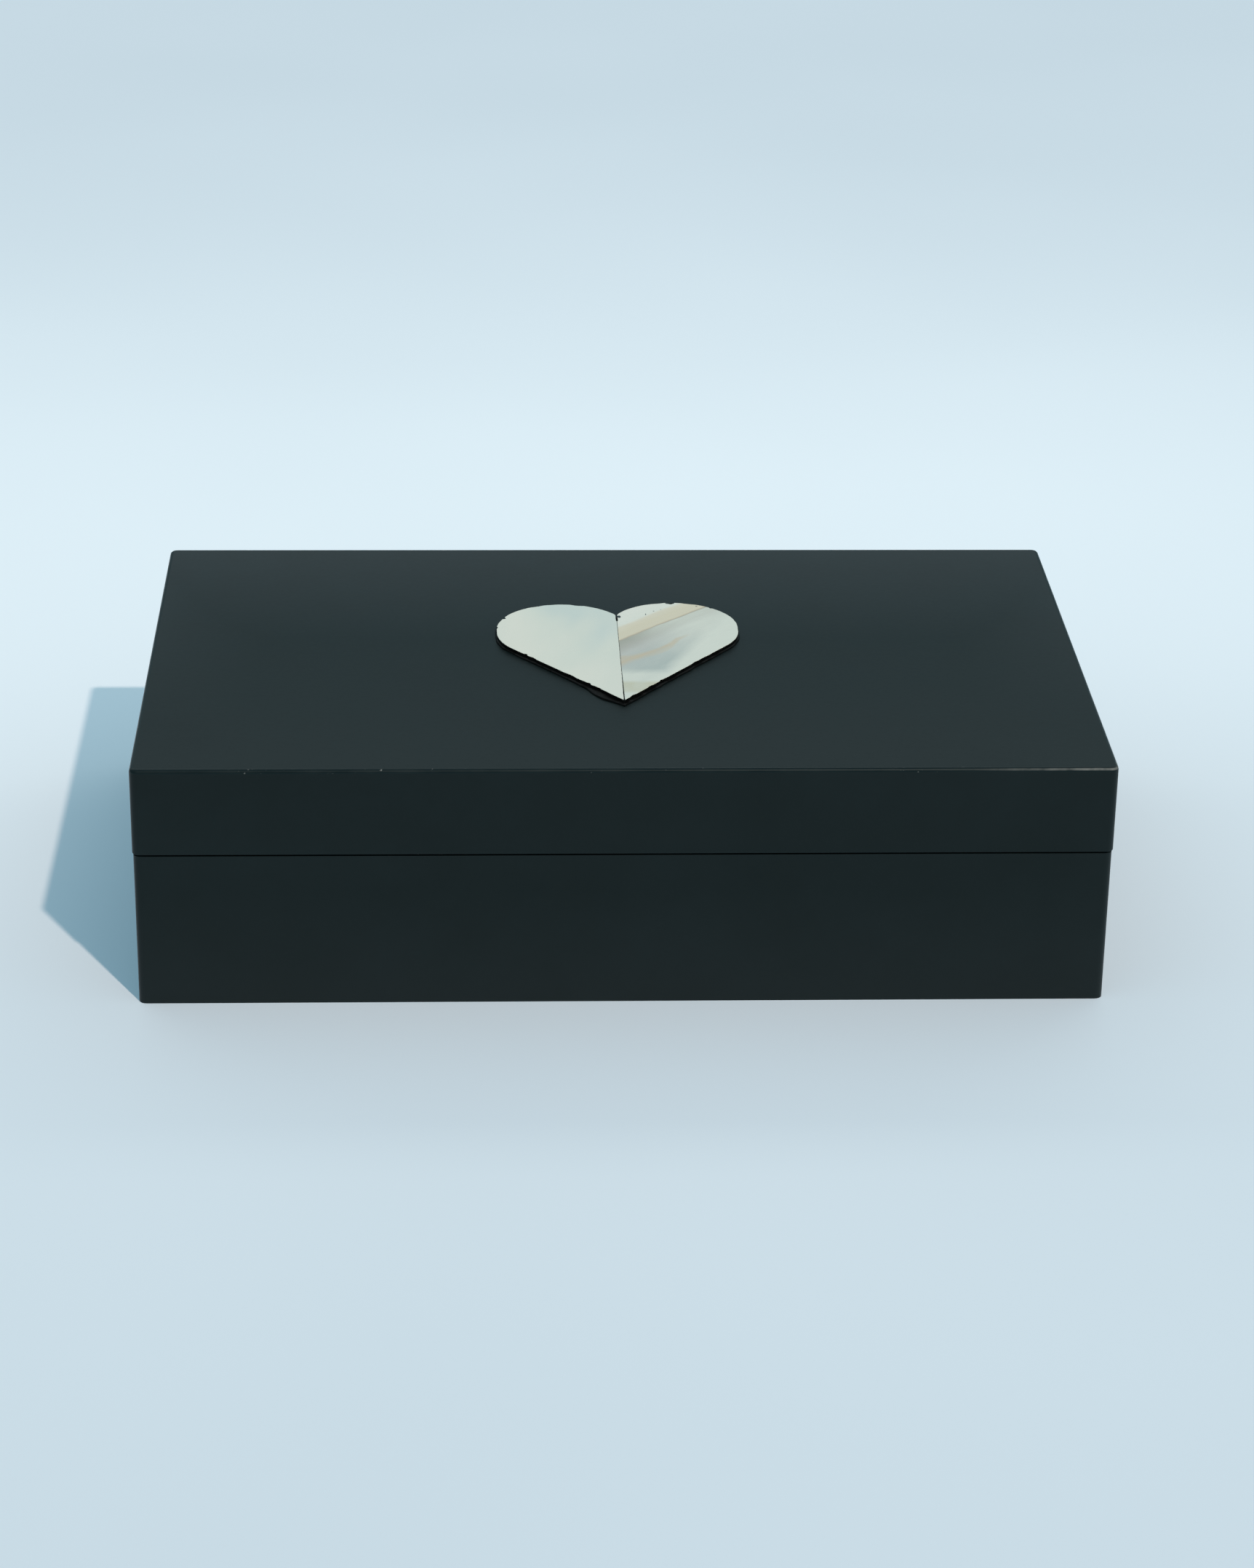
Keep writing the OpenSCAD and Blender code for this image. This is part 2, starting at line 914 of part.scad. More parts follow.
module spring_barrel() {
    color("#c8a24a")
        at_movement()
            union() {
                crown_teeth_ring();
                difference() {
                    union() {
                        translate([0, 0, barrel_z])
                            cylinder(r = barrel_r, h = barrel_top - barrel_z);
                        translate([0, 0, crown_top - crown_disc_t])
                            cylinder(r = crown_disc_r, h = crown_disc_t);
                    }
                    translate([0, 0, barrel_z + barrel_wall])
                        cylinder(r = barrel_r - barrel_wall, h = barrel_top);
                    translate([0, 0, barrel_z - 1])
                        cylinder(r = arbor_r + run_fit, h = 3);
                }
            }
}

module barrel_cap() {
    color("#c8a24a")
        at_movement()
            translate([0, 0, barrel_top])
                difference() {
                    cylinder(r = barrel_r, h = cap_t);
                    translate([0, 0, -eps])
                        cylinder(r = arbor_r + run_fit, h = 2);
                }
}

module mainspring() {
    step = 20;
    last = spring_turns * 360;
    gap = (spring_outer - spring_inner) / last;
    inner = [for (a = [0 : step : last]) (spring_inner + gap * a) * [cos(a), sin(a)]];
    outer = [for (a = [last : -step : 0]) (spring_inner + gap * a + spring_band) * [cos(a), sin(a)]];
    color("#5a6470")
        at_movement()
            translate([0, 0, barrel_z + barrel_wall + 0.3])
                linear_extrude(barrel_top - barrel_z - barrel_wall - 0.6)
                    polygon(concat(inner, outer));
}

// Cylinder

module cylinder_drum() {
    color("#c8a24a")
        at_movement()
            translate([drum_x, 0, cylinder_z])
                difference() {
                    union() {
                        x_cylinder(drum_r, drum_l);
                        for (n = [0 : notes - 1], k = [0 : pins_per_note - 1])
                            translate([(n + 0.5) * note_pitch, 0, 0])
                                rotate([(n * 137 + k * (81 + 7 * (n % 3))) % 360, 0, 0])
                                    cylinder(r = cyl_pin_r, h = drum_r + pin_l, $fn = 6);
                    }
                    translate([drum_wall, 0, 0])
                        x_cylinder(drum_r - drum_wall, drum_l - 2 * drum_wall);
                    translate([-1, 0, 0])
                        x_cylinder(shaft_r, drum_l + 2);
                }
}

module cylinder_arbor() {
    color("#b0b0b0")
        at_movement()
            translate([0, 0, cylinder_z]) {
                translate([shaft_start, 0, 0])
                    x_cylinder(shaft_r, shaft_end - shaft_start);
                translate([pinion_x + pinion_l / 2, 0, 0])
                    along_x(pinion_l)
                        rotate(90)
                            polygon(gear_points(crown_m, crown_pinion_teeth, backlash));
            }
}

module cylinder_gear() {
    color("#c8a24a")
        at_movement()
            translate([gear_x + gear_l / 2, 0, cylinder_z])
                along_x(gear_l)
                    difference() {
                        polygon(gear_points(train_m, cylinder_teeth, backlash));
                        circle(shaft_r);
                    }
}

module cylinder_brackets() {
    color("#a9adb0")
        at_movement()
            for (x = bracket_x) {
                difference() {
                    union() {
                        box([x, -bracket_half, bed_t], [x + bracket_t, bracket_half, cylinder_z]);
                        translate([x, 0, cylinder_z])
                            x_cylinder(bracket_half, bracket_t);
                        box([x, -bracket_half / 2, 0], [x + bracket_t, bracket_half / 2, bed_t + 1]);
                    }
                    translate([x - 1, 0, cylinder_z])
                        x_cylinder(shaft_r + run_fit, bracket_t + 2);
                }
            }
}

module comb() {
    color("#cfd2d4")
        at_movement()
            difference() {
                translate([0, 0, comb_z])
                    linear_extrude(comb_t)
                        union() {
                            comb_edge(0);
                            for (n = [0 : notes - 1])
                                translate([drum_x + (n + 0.5) * note_pitch - tooth_w / 2, bed_front + 3])
                                    square([tooth_w, tip_y_comb - bed_front - 3]);
                        }
                comb_screw_set();
            }
}

module comb_screws() {
    color("#9a9a9a")
        at_movement()
            comb_screw_set();
}

// Governor

module governor_frame() {
    color("#c8a24a")
        at_movement()
            difference() {
                union() {
                    box([frame_left, frame_front, bed_t], [frame_right, frame_back, bed_t + frame_base_t]);
                    for (x = [frame_left, frame_right - cheek_t])
                        box([x, frame_front, bed_t], [x + cheek_t, frame_back, bridge_z]);
                    box([frame_left, bridge_front, bridge_z - eps],
                        [bridge_right, frame_back, bridge_z + cheek_t]);
                }
                translate([frame_left - 1, governor_y, cylinder_z])
                    x_cylinder(pivot_r + run_fit, frame_right - frame_left + 2);
                translate([spindle_x, spindle_y, 0])
                    cylinder(r = pivot_r + run_fit, h = bridge_z + 3);
                governor_screw_set();
            }
}

module governor_screws() {
    color("#9a9a9a")
        at_movement()
            governor_screw_set();
}

module governor_wheel() {
    half_step = 180 / governor_pinion_teeth;
    color("#c8a24a")
        at_movement()
            translate([0, governor_y, cylinder_z]) {
                translate([frame_left - 0.1, 0, 0])
                    x_cylinder(pivot_r, frame_right - frame_left + 0.2);
                translate([gear_x + gear_l / 2, 0, 0])
                    along_x(gear_l + 0.6)
                        rotate(half_step)
                            polygon(gear_points(train_m, governor_pinion_teeth, backlash));
                translate([spindle_x, 0, 0])
                    along_x(0.8)
                        polygon(gear_points(train_m, worm_wheel_teeth, backlash));
                translate([spindle_x - 0.8, 0, 0])
                    x_cylinder(2 * pivot_r, 1.6);
            }
}

module fan_spindle() {
    color("#b0b0b0")
        at_movement()
            translate([spindle_x, spindle_y, 0]) {
                translate([0, 0, bed_t - 0.4])
                    cylinder(r = pivot_r, h = disc_z + disc_t + fan_h - bed_t);
                translate([0, 0, cylinder_z - worm_l / 2 - 0.6])
                    cylinder(r = pivot_r + 0.4, h = 0.6);
            }
}

// The worm's thread is swept along its helix, with the wheel's tooth in its space at mid height
module worm_thread() {
    step = 15;
    turns = worm_l / worm_lead - 0.9;
    last = floor(turns * 360 / step);
    slope = tan(pressure);
    tip = addendum * train_m;
    root = dedendum * train_m;
    half = PI * train_m / 4 - backlash / 2;
    inner = worm_r - root - 0.1;
    wide = half + root * slope;
    narrow = half - tip * slope;
    low = -worm_lead * last * step / 720;
    rings = [for (i = [0 : last])
        let (a = i * step + 90,
             z = low + worm_lead * i * step / 360,
             c = [cos(a), sin(a)])
        [[each (inner * c), z - wide], [each ((worm_r + tip) * c), z - narrow],
         [each ((worm_r + tip) * c), z + narrow], [each (inner * c), z + wide]]];
    points = [for (ring = rings) each ring];
    sides = [for (i = [0 : last - 1], k = [0 : 3])
        let (p = 4 * i + k, q = 4 * i + (k + 1) % 4)
        [p, q, q + 4, p + 4]];
    polyhedron(points, concat([[3, 2, 1, 0]], sides, [[for (k = [0 : 3]) 4 * last + k]]));
}

module fan_worm() {
    root_r = worm_r - dedendum * train_m;
    color("#c8a24a")
        at_movement()
            translate([spindle_x, spindle_y, cylinder_z])
                difference() {
                    union() {
                        translate([0, 0, -worm_l / 2])
                            cylinder(r = root_r, h = worm_l);
                        rotate([0, 0, 180])
                            worm_thread();
                    }
                    translate([0, 0, -worm_l])
                        cylinder(r = pivot_r + eps, h = 2 * worm_l);
                }
}

module governor_fan() {
    blade_t = 0.5;
    color("#e6e2d6")
        at_movement()
            translate([spindle_x, spindle_y, disc_z])
                difference() {
                    union() {
                        cylinder(r = fan_r, h = disc_t);
                        cylinder(r = 2 * pivot_r, h = disc_t + fan_h);
                        translate([-fan_r + 0.2, -blade_t / 2, disc_t - eps])
                            cube([2 * fan_r - 0.4, blade_t, fan_h]);
                    }
                    translate([0, 0, -1])
                        cylinder(r = pivot_r, h = disc_t + fan_h + 0.6);
                }
}

// Stop

module stop_lever() {
    arm_low = lever_z;
    arm_high = lever_z + 0.7;
    color("#b0b0b0")
        at_movement()
            translate([0, spindle_y, 0]) {
                translate([lever_x, 0, lever_z]) {
                    y_cylinder(lever_hub_r, 2 * lever_half);
                    y_cylinder(pivot_r, 2 * (ear_half + ear_t));
                }
                box([shoe_x, -lever_half, arm_low], [lever_x, lever_half, arm_high]);
                box([shoe_x, -lever_half, arm_low], [shoe_x + shoe_l, lever_half, disc_z - touch_gap]);
                box([lever_x, -lever_half, lever_z - 0.5], [plunger_x, lever_half, lever_z + 0.5]);
                translate([plunger_x, 0, lever_z])
                    y_cylinder(tail_r, 2 * lever_half);
            }
}

module stop_lever_bracket() {
    full = ear_half + ear_t;
    color("#a9adb0")
        difference() {
            at_movement()
                translate([lever_x, spindle_y, 0])
                    difference() {
                        box([-post_w / 2, -full, 0], [post_w / 2, full, lever_z + 1.4]);
                        box([-post_w, -ear_half, lever_z - lever_hub_r - 0.8], [post_w, ear_half, lever_z + 5]);
                        translate([0, 0, lever_z])
                            y_cylinder(pivot_r + run_fit, 4 * full);
                    }
            bedplate_screw_set();
        }
}

module stop_plunger() {
    color("#c8a24a")
        at_movement()
            translate([plunger_x, spindle_y, plunger_low])
                cylinder(r = plunger_r, h = lid_z - touch_gap - floor_z - plunger_low);
}

module stop_spring() {
    wire_r = 0.18;
    coil_r = 0.75;
    sides = 8;
    step = 20;
    turns = 4;
    last = turns * 360 / step;
    low = slot_low + wire_r + 0.02;
    high = lever_z - tail_r - wire_r - 0.05;
    points = [for (i = [0 : last], k = [0 : sides - 1])
        let (a = i * step,
             b = k * 360 / sides,
             r = coil_r + wire_r * cos(b))
        [r * cos(a), r * sin(a), low + (high - low) * i / last + wire_r * sin(b)]];
    skin = [for (i = [0 : last - 1], k = [0 : sides - 1])
        let (p = sides * i + k, q = sides * i + (k + 1) % sides)
        [p, q, q + sides, p + sides]];
    first_end = [for (k = [0 : sides - 1]) sides - 1 - k];
    last_end = [for (k = [0 : sides - 1]) sides * last + k];
    color("#9a9a9a")
        at_movement()
            translate([plunger_x, spindle_y, 0])
                polyhedron(points, concat([first_end], skin, [last_end]));
}

base_front_wall();
base_back_wall();
base_left_wall();
base_right_wall();
bottom_panel();
bay_side_partition();
bay_front_partition();
lid_top_panel();
lid_front_rail();
lid_back_rail();
lid_left_rail();
lid_right_rail();
heart_left_half();
heart_right_half();
heart_glue_bed();
well_floor_pad();
well_liner_boards();
ring_liner_boards();
ring_rolls();
lid_pad();
lid_liner_boards();
hinge_left_lower_leaf();
hinge_left_upper_leaf();
hinge_left_pin();
hinge_right_lower_leaf();
hinge_right_upper_leaf();
hinge_right_pin();
hinge_lower_screws();
hinge_upper_screws();
rim_bumpers();
cover_corner_blocks();
movement_cover();
cover_screws();
bedplate();
bedplate_screws();
arbor_bush();
winding_arbor();
winding_key();
spring_barrel();
barrel_cap();
mainspring();
arbor_clip();
cylinder_drum();
cylinder_arbor();
cylinder_gear();
cylinder_brackets();
comb();
comb_screws();
governor_frame();
governor_screws();
governor_wheel();
fan_spindle();
fan_worm();
governor_fan();
stop_lever();
stop_lever_bracket();
stop_plunger();
stop_spring();
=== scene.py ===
"""Looks of the wind up music box: painted case, shell heart, velvet lining and a brass and steel movement."""

import json
import math
import random

import bmesh
import bpy
from mathutils import Matrix, Vector, noise


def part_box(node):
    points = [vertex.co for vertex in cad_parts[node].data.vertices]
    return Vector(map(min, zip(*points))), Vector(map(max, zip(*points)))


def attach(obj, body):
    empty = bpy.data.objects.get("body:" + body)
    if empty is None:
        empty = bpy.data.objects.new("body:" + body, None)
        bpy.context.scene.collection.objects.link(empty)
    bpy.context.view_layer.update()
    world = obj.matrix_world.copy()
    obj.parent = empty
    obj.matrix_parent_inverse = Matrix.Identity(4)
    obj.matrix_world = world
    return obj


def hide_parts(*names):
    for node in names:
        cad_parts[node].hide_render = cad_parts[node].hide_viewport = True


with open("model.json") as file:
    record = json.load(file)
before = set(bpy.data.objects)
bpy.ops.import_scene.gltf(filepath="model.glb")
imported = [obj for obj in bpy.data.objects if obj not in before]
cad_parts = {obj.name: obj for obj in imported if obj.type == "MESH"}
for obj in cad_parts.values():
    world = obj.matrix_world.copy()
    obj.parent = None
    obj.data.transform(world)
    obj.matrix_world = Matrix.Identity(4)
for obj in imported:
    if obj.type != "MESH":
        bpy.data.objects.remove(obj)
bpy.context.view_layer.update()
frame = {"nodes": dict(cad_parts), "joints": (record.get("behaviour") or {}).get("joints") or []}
nodes = frame["nodes"]
joints = {joint["name"]: joint for joint in frame["joints"]}
MM = 0.001
SAME = 0.001 * MM


# Places that the frame gives


def group_box(*names):
    lows, highs = zip(*(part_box(name) for name in names))
    low = Vector([min(corner[k] for corner in lows) for k in range(3)])
    high = Vector([max(corner[k] for corner in highs) for k in range(3)])
    return low, high


BASE_WALLS = ["base_front_wall", "base_back_wall", "base_left_wall", "base_right_wall"]
LID_RAILS = ["lid_front_rail", "lid_back_rail", "lid_left_rail", "lid_right_rail"]
base_low, base_high = group_box(*BASE_WALLS)
rail_low, rail_high = group_box(*LID_RAILS)
lid_low, lid_high = group_box("lid_top_panel", *LID_RAILS)
front_low, front_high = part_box("base_front_wall")
WALL_T = front_high.y - front_low.y
hinge = Vector(joints["lid_hinge"]["pos_m"])
LID_OPEN = joints["lid_hinge"]["range_deg"][1]


# Mesh helpers


def new_object(name, mesh):
    obj = bpy.data.objects.new(name, mesh)
    bpy.context.scene.collection.objects.link(obj)
    return obj


def from_bmesh(name, bm):
    bmesh.ops.recalc_face_normals(bm, faces=bm.faces)
    mesh = bpy.data.meshes.new(name)
    bm.to_mesh(mesh)
    bm.free()
    return new_object(name, mesh)


def bake_modifiers(obj):
    graph = bpy.context.evaluated_depsgraph_get()
    mesh = bpy.data.meshes.new_from_object(obj.evaluated_get(graph))
    obj.modifiers.clear()
    obj.data = mesh


def combine(obj, other, operation):
    step = obj.modifiers.new("combine", "BOOLEAN")
    step.operation = operation
    step.solver = "EXACT"
    step.object = other
    bake_modifiers(obj)
    bpy.data.objects.remove(other)


def prism(name, outline, low, high, along_x=False):
    """An outline of 2D points, counter-clockwise, raised from low to high along Z, or along X from (y, z)."""
    bm = bmesh.new()
    rings = []
    for level in (low, high):
        points = [(level, a, b) if along_x else (a, b, level) for a, b in outline]
        rings.append([bm.verts.new(point) for point in points])
    bm.faces.new(reversed(rings[0]))
    bm.faces.new(rings[1])
    for i in range(len(outline)):
        j = (i + 1) % len(outline)
        bm.faces.new((rings[0][i], rings[0][j], rings[1][j], rings[1][i]))
    return from_bmesh(name, bm)


def rectangle(low_x, low_y, high_x, high_y):
    return [(low_x, low_y), (high_x, low_y), (high_x, high_y), (low_x, high_y)]


def rounded_rectangle(low_x, low_y, high_x, high_y, radius, steps=5):
    corners = [
        (high_x - radius, high_y - radius, 0),
        (low_x + radius, high_y - radius, 90),
        (low_x + radius, low_y + radius, 180),
        (high_x - radius, low_y + radius, 270),
    ]
    outline = []
    for x, y, start in corners:
        for i in range(steps + 1):
            angle = math.radians(start + 90 * i / steps)
            outline.append((x + radius * math.cos(angle), y + radius * math.sin(angle)))
    return outline


def circle(x, y, radius, steps=32):
    turn = 2 * math.pi / steps
    return [(x + radius * math.cos(i * turn), y + radius * math.sin(i * turn)) for i in range(steps)]


def box_solid(name, low, high):
    return prism(name, rectangle(low[0], low[1], high[0], high[1]), low[2], high[2])


EDGE_ANGLE = math.radians(35)
FLAT_ANGLE = math.radians(0.4)
WELD_GAP = 0.005 * MM


def soften(obj, width, segments=2, by_weight=False, wear_and_glint_slot=-1):
    """Rounds the edges and leaves the flat faces flat."""
    for polygon in obj.data.polygons:
        polygon.use_smooth = True
    bevel = obj.modifiers.new("edges", "BEVEL")
    bevel.width = width
    bevel.segments = segments
    bevel.limit_method = "WEIGHT" if by_weight else "ANGLE"
    bevel.angle_limit = EDGE_ANGLE
    bevel.material = wear_and_glint_slot
    normals = obj.modifiers.new("normals", "WEIGHTED_NORMAL")
    normals.weight = 100
    normals.keep_sharp = True


def soften_cad(name, width):
    """Welds a CAD mesh, joins its flat triangles and rounds its edges, all by modifiers."""
    obj = nodes[name]
    weld = obj.modifiers.new("weld", "WELD")
    weld.merge_threshold = WELD_GAP
    flats = obj.modifiers.new("flats", "DECIMATE")
    flats.decimate_type = "DISSOLVE"
    flats.angle_limit = FLAT_ANGLE
    soften(obj, width)


# Node graph helpers


class Graph:
    """A material's nodes, with object coordinates ready at hand."""

    def __init__(self, name):
        self.material = bpy.data.materials.new(name)
        self.material.use_nodes = True
        self.tree = self.material.node_tree
        self.shader = self.tree.nodes["Principled BSDF"]
        self.coords = self.tree.nodes.new("ShaderNodeTexCoord").outputs["Object"]

    def link(self, output, node, socket):
        self.tree.links.new(output, node.inputs[socket])

    def placed(self, stretch=(1, 1, 1), turn=(0, 0, 0)):
        """Object coordinates turned by the given angles, then stretched along the turned axes."""
        node = self.tree.nodes.new("ShaderNodeMapping")
        node.vector_type = "TEXTURE"
        node.inputs["Scale"].default_value = stretch
        node.inputs["Rotation"].default_value = [math.radians(a) for a in turn]
        self.link(self.coords, node, "Vector")
        return node.outputs["Vector"]

    def axes(self, vector):
        node = self.tree.nodes.new("ShaderNodeSeparateXYZ")
        self.link(vector, node, "Vector")
        return node.outputs

    def noise(self, scale, detail=4, rough=0.55, distortion=0, where=None):
        node = self.tree.nodes.new("ShaderNodeTexNoise")
        node.inputs["Scale"].default_value = scale
        node.inputs["Detail"].default_value = detail
        node.inputs["Roughness"].default_value = rough
        node.inputs["Distortion"].default_value = distortion
        self.link(where or self.coords, node, "Vector")
        return node.outputs["Fac"]

    def ramp(self, value, stops):
        node = self.tree.nodes.new("ShaderNodeValToRGB")
        elements = node.color_ramp.elements
        while len(elements) < len(stops):
            elements.new(0.5)
        for element, (position, colour) in zip(elements, stops):
            element.position = position
            element.color = (*colour, 1) if len(colour) == 3 else colour
        self.link(value, node, "Fac")
        return node.outputs["Color"]

    def spread(self, value, low, high, to_low=0, to_high=1):
        """Maps low..high onto to_low..to_high, and stays at the ends outside."""
        node = self.tree.nodes.new("ShaderNodeMapRange")
        for socket, number in zip(("From Min", "From Max", "To Min", "To Max"), (low, high, to_low, to_high)):
            node.inputs[socket].default_value = number
        self.link(value, node, "Value")
        return node.outputs["Result"]

    def math(self, operation, a, b):
        node = self.tree.nodes.new("ShaderNodeMath")
        node.operation = operation
        for k, value in enumerate((a, b)):
            if isinstance(value, (int, float)):
                node.inputs[k].default_value = value
            else:
                self.link(value, node, k)
        return node.outputs["Value"]

    def times(self, a, b):
        return self.math("MULTIPLY", a, b)

    def plus(self, a, b):
        return self.math("ADD", a, b)

    def minus(self, a, b):
        return self.math("SUBTRACT", a, b)

    def larger(self, a, b):
        return self.math("MAXIMUM", a, b)

    def size(self, a):
        return self.math("ABSOLUTE", a, 0)

    def square(self, a):
        return self.math("POWER", self.size(a), 2.0)

    def mix(self, amount, a, b):
        node = self.tree.nodes.new("ShaderNodeMix")
        node.data_type = "RGBA"
        for socket, value in ((0, amount), (6, a), (7, b)):
            if isinstance(value, bpy.types.NodeSocket):
                self.link(value, node, socket)
            elif socket == 0:
                node.inputs[0].default_value = value
            else:
                node.inputs[socket].default_value = (*value, 1)
        return node.outputs[2]

    def bump(self, height, strength, distance, onto=None):
        node = self.tree.nodes.new("ShaderNodeBump")
        node.inputs["Strength"].default_value = strength
        node.inputs["Distance"].default_value = distance
        self.link(height, node, "Height")
        if onto is not None:
            self.link(onto, node, "Normal")
        return node.outputs["Normal"]

    def finish(self, colour=None, rough=None, normal=None, **constants):
        for socket, value in (("Base Color", colour), ("Roughness", rough), ("Normal", normal)):
            if isinstance(value, bpy.types.NodeSocket):
                self.link(value, self.shader, socket)
            elif isinstance(value, (int, float)):
                self.shader.inputs[socket].default_value = value
            elif value is not None:
                self.shader.inputs[socket].default_value = (*value, 1)
        for name, value in constants.items():
            self.shader.inputs[name.replace("_", " ")].default_value = value
        return self.material


# Materials


def satin_paint():
    """Black satin paint, with a painted reflection: paler towards the back and the ends of the lid top and
    low on the walls.
    """
    g = Graph("satin_black_paint")
    blotch = g.noise(38, detail=5, rough=0.6)
    fine = g.noise(700, detail=3)
    colour = g.ramp(blotch, [(0.3, (0.0020, 0.0078, 0.0082)), (0.7, (0.0038, 0.0108, 0.0120))])
    x, y, z = g.axes(g.coords)
    # Painted reflection: the lid top is paler towards its back and ends, and the walls are paler low down.
    ends = g.times(g.spread(g.size(x), 95 * MM, 125 * MM, 0, 0.7), g.spread(y, -50 * MM, 50 * MM))
    near_edge = g.larger(ends, g.spread(y, 10 * MM, 78 * MM))
    on_top = g.times(g.spread(z, lid_high.z - 3 * MM, lid_high.z, 0, 0.8), near_edge)
    painted_reflection = g.larger(on_top, g.spread(z, base_low.z, 32 * MM, 0.22, 0))
    colour = g.mix(painted_reflection, colour, (0.026, 0.034, 0.037))
    rough = g.spread(g.plus(blotch, g.times(fine, 0.3)), 0.4, 0.9, 0.34, 0.46)
    orange_peel = g.bump(g.noise(1100, detail=2), 0.1, 0.04 * MM)
    waves = g.bump(g.noise(35, detail=1), 0.08, 0.3 * MM, onto=orange_peel)
    return g.finish(colour, rough, waves, Specular_IOR_Level=0.19)


def worn_and_glinting_edge():
    """The rounded edges: rare specks of wear, and a painted glint, a thin pale line high on the right end of
    the lid's front edge.
    """
    g = Graph("paint_edge_wear_and_glint")
    specks = g.ramp(g.noise(750, detail=3, rough=0.7), [(0.66, (0, 0, 0)), (0.7, (1, 1, 1))])
    rubbed = g.noise(120, detail=4)
    base = g.ramp(rubbed, [(0.35, (0.003, 0.008, 0.009)), (0.7, (0.006, 0.012, 0.013))])
    patches = g.ramp(g.noise(22, detail=2), [(0.55, (0, 0, 0)), (0.62, (1, 1, 1))])
    x, y, z = g.axes(g.coords)
    # Painted glint: a thin band near the crest of the lid's front edge, stronger towards its right end.
    crest_low = g.spread(z, lid_high.z - 0.8 * MM, lid_high.z - 0.6 * MM)
    crest_high = g.spread(z, lid_high.z - 0.3 * MM, lid_high.z - 0.1 * MM, 1, 0)
    glint_place = g.times(g.spread(x, 88 * MM, 118 * MM, 0, 0.8), g.times(crest_low, crest_high))
    uneven = g.spread(g.noise(260, detail=3), 0.35, 0.6, 0.2, 0.8)
    painted_glint = g.times(g.times(glint_place, g.spread(y, -70 * MM, -75 * MM)), uneven)
    amount = g.larger(g.times(specks, patches), painted_glint)
    colour = g.mix(amount, base, (0.2, 0.215, 0.205))
    rough = g.spread(rubbed, 0.3, 0.7, 0.3, 0.42)
    return g.finish(colour, rough, g.bump(specks, 0.2, 0.05 * MM), Specular_IOR_Level=0.22,
                    Specular_Tint=(0.72, 0.95, 1.0, 1))


def velvet(name, colour, dark):
    g = Graph(name)
    pile = g.noise(2600, detail=3, rough=0.7)
    brushed = g.noise(55, detail=3, distortion=0.6)
    tone = g.plus(g.times(pile, 0.6), g.times(brushed, 0.4))
    shade = g.ramp(tone, [(0.25, dark), (0.68, colour)])
    normal = g.bump(pile, 0.5, 0.2 * MM, onto=g.bump(brushed, 0.2, 0.4 * MM))
    return g.finish(shade, 0.9, normal, Sheen_Weight=0.55, Sheen_Roughness=0.35,
                    Sheen_Tint=(1, 0.45, 0.5, 1), Specular_IOR_Level=0.2)


def metal(name, colour, dull, rough, grain=(1, 1, 1), tarnish=0.25):
    g = Graph(name)
    cloud = g.noise(160, detail=5, rough=0.65)
    lines = g.noise(900, detail=3, where=g.placed(stretch=grain))
    shade = g.mix(g.ramp(cloud, [(0.45, (0, 0, 0)), (0.75, (tarnish,) * 3)]), colour, dull)
    roughness = g.spread(g.plus(cloud, lines), 0.7, 1.3, rough * 0.75, rough * 1.35)
    return g.finish(shade, roughness, g.bump(lines, 0.15, 0.03 * MM), Metallic=1.0)


def cast_metal():
    g = Graph("zinc_casting")
    grain = g.noise(1800, detail=4, rough=0.7)
    cloud = g.noise(120, detail=3)
    shade = g.ramp(cloud, [(0.35, (0.42, 0.43, 0.44)), (0.7, (0.56, 0.57, 0.58))])
    rough = g.spread(grain, 0.3, 0.7, 0.38, 0.6)
    return g.finish(shade, rough, g.bump(grain, 0.35, 0.06 * MM), Metallic=1.0)


def board(name, dark, light):
    g = Graph(name)
    fibres = g.noise(260, detail=6, rough=0.7, where=g.placed(stretch=(4, 0.45, 0.45)))
    specks = g.noise(1500, detail=2)
    tone = g.plus(g.times(fibres, 0.75), g.times(specks, 0.25))
    shade = g.ramp(tone, [(0.35, dark), (0.65, light)])
    return g.finish(shade, g.spread(fibres, 0.3, 0.7, 0.55, 0.75), g.bump(fibres, 0.3, 0.2 * MM))


def rubber():
    g = Graph("black_rubber")
    grit = g.noise(2500, detail=2)
    shade = g.ramp(grit, [(0.4, (0.012, 0.012, 0.012)), (0.7, (0.03, 0.03, 0.03))])
    return g.finish(shade, 0.75, g.bump(grit, 0.3, 0.05 * MM))


def plastic(name, low, high):
    g = Graph(name)
    cloud = g.noise(300, detail=3)
    shade = g.ramp(cloud, [(0.35, low), (0.65, high)])
    return g.finish(shade, g.spread(cloud, 0.3, 0.7, 0.32, 0.45), g.bump(g.noise(1500), 0.08, 0.03 * MM))


def clear_plastic():
    """Clear sheet that shows what is behind it unshifted, with its gloss from a coat."""
    g = Graph("clear_cover")
    dust = g.noise(90, detail=6, rough=0.7)
    rough = g.spread(dust, 0.35, 0.75, 0.03, 0.14)
    shade = g.ramp(dust, [(0.4, (0.86, 0.93, 0.94)), (0.7, (0.93, 0.96, 0.96))])
    return g.finish(shade, rough, None, Alpha=0.35, Transmission_Weight=1.0, IOR=1.02,
                    Coat_Weight=1.0, Coat_IOR=1.5, Coat_Roughness=0.03)


def glue():
    g = Graph("black_glue")
    lumps = g.noise(500, detail=3)
    shade = g.ramp(lumps, [(0.4, (0.0008, 0.001, 0.001)), (0.7, (0.003, 0.0032, 0.003))])
    return g.finish(shade, g.spread(lumps, 0.3, 0.7, 0.45, 0.6), g.bump(lumps, 0.4, 0.15 * MM),
                    Specular_IOR_Level=0.12)


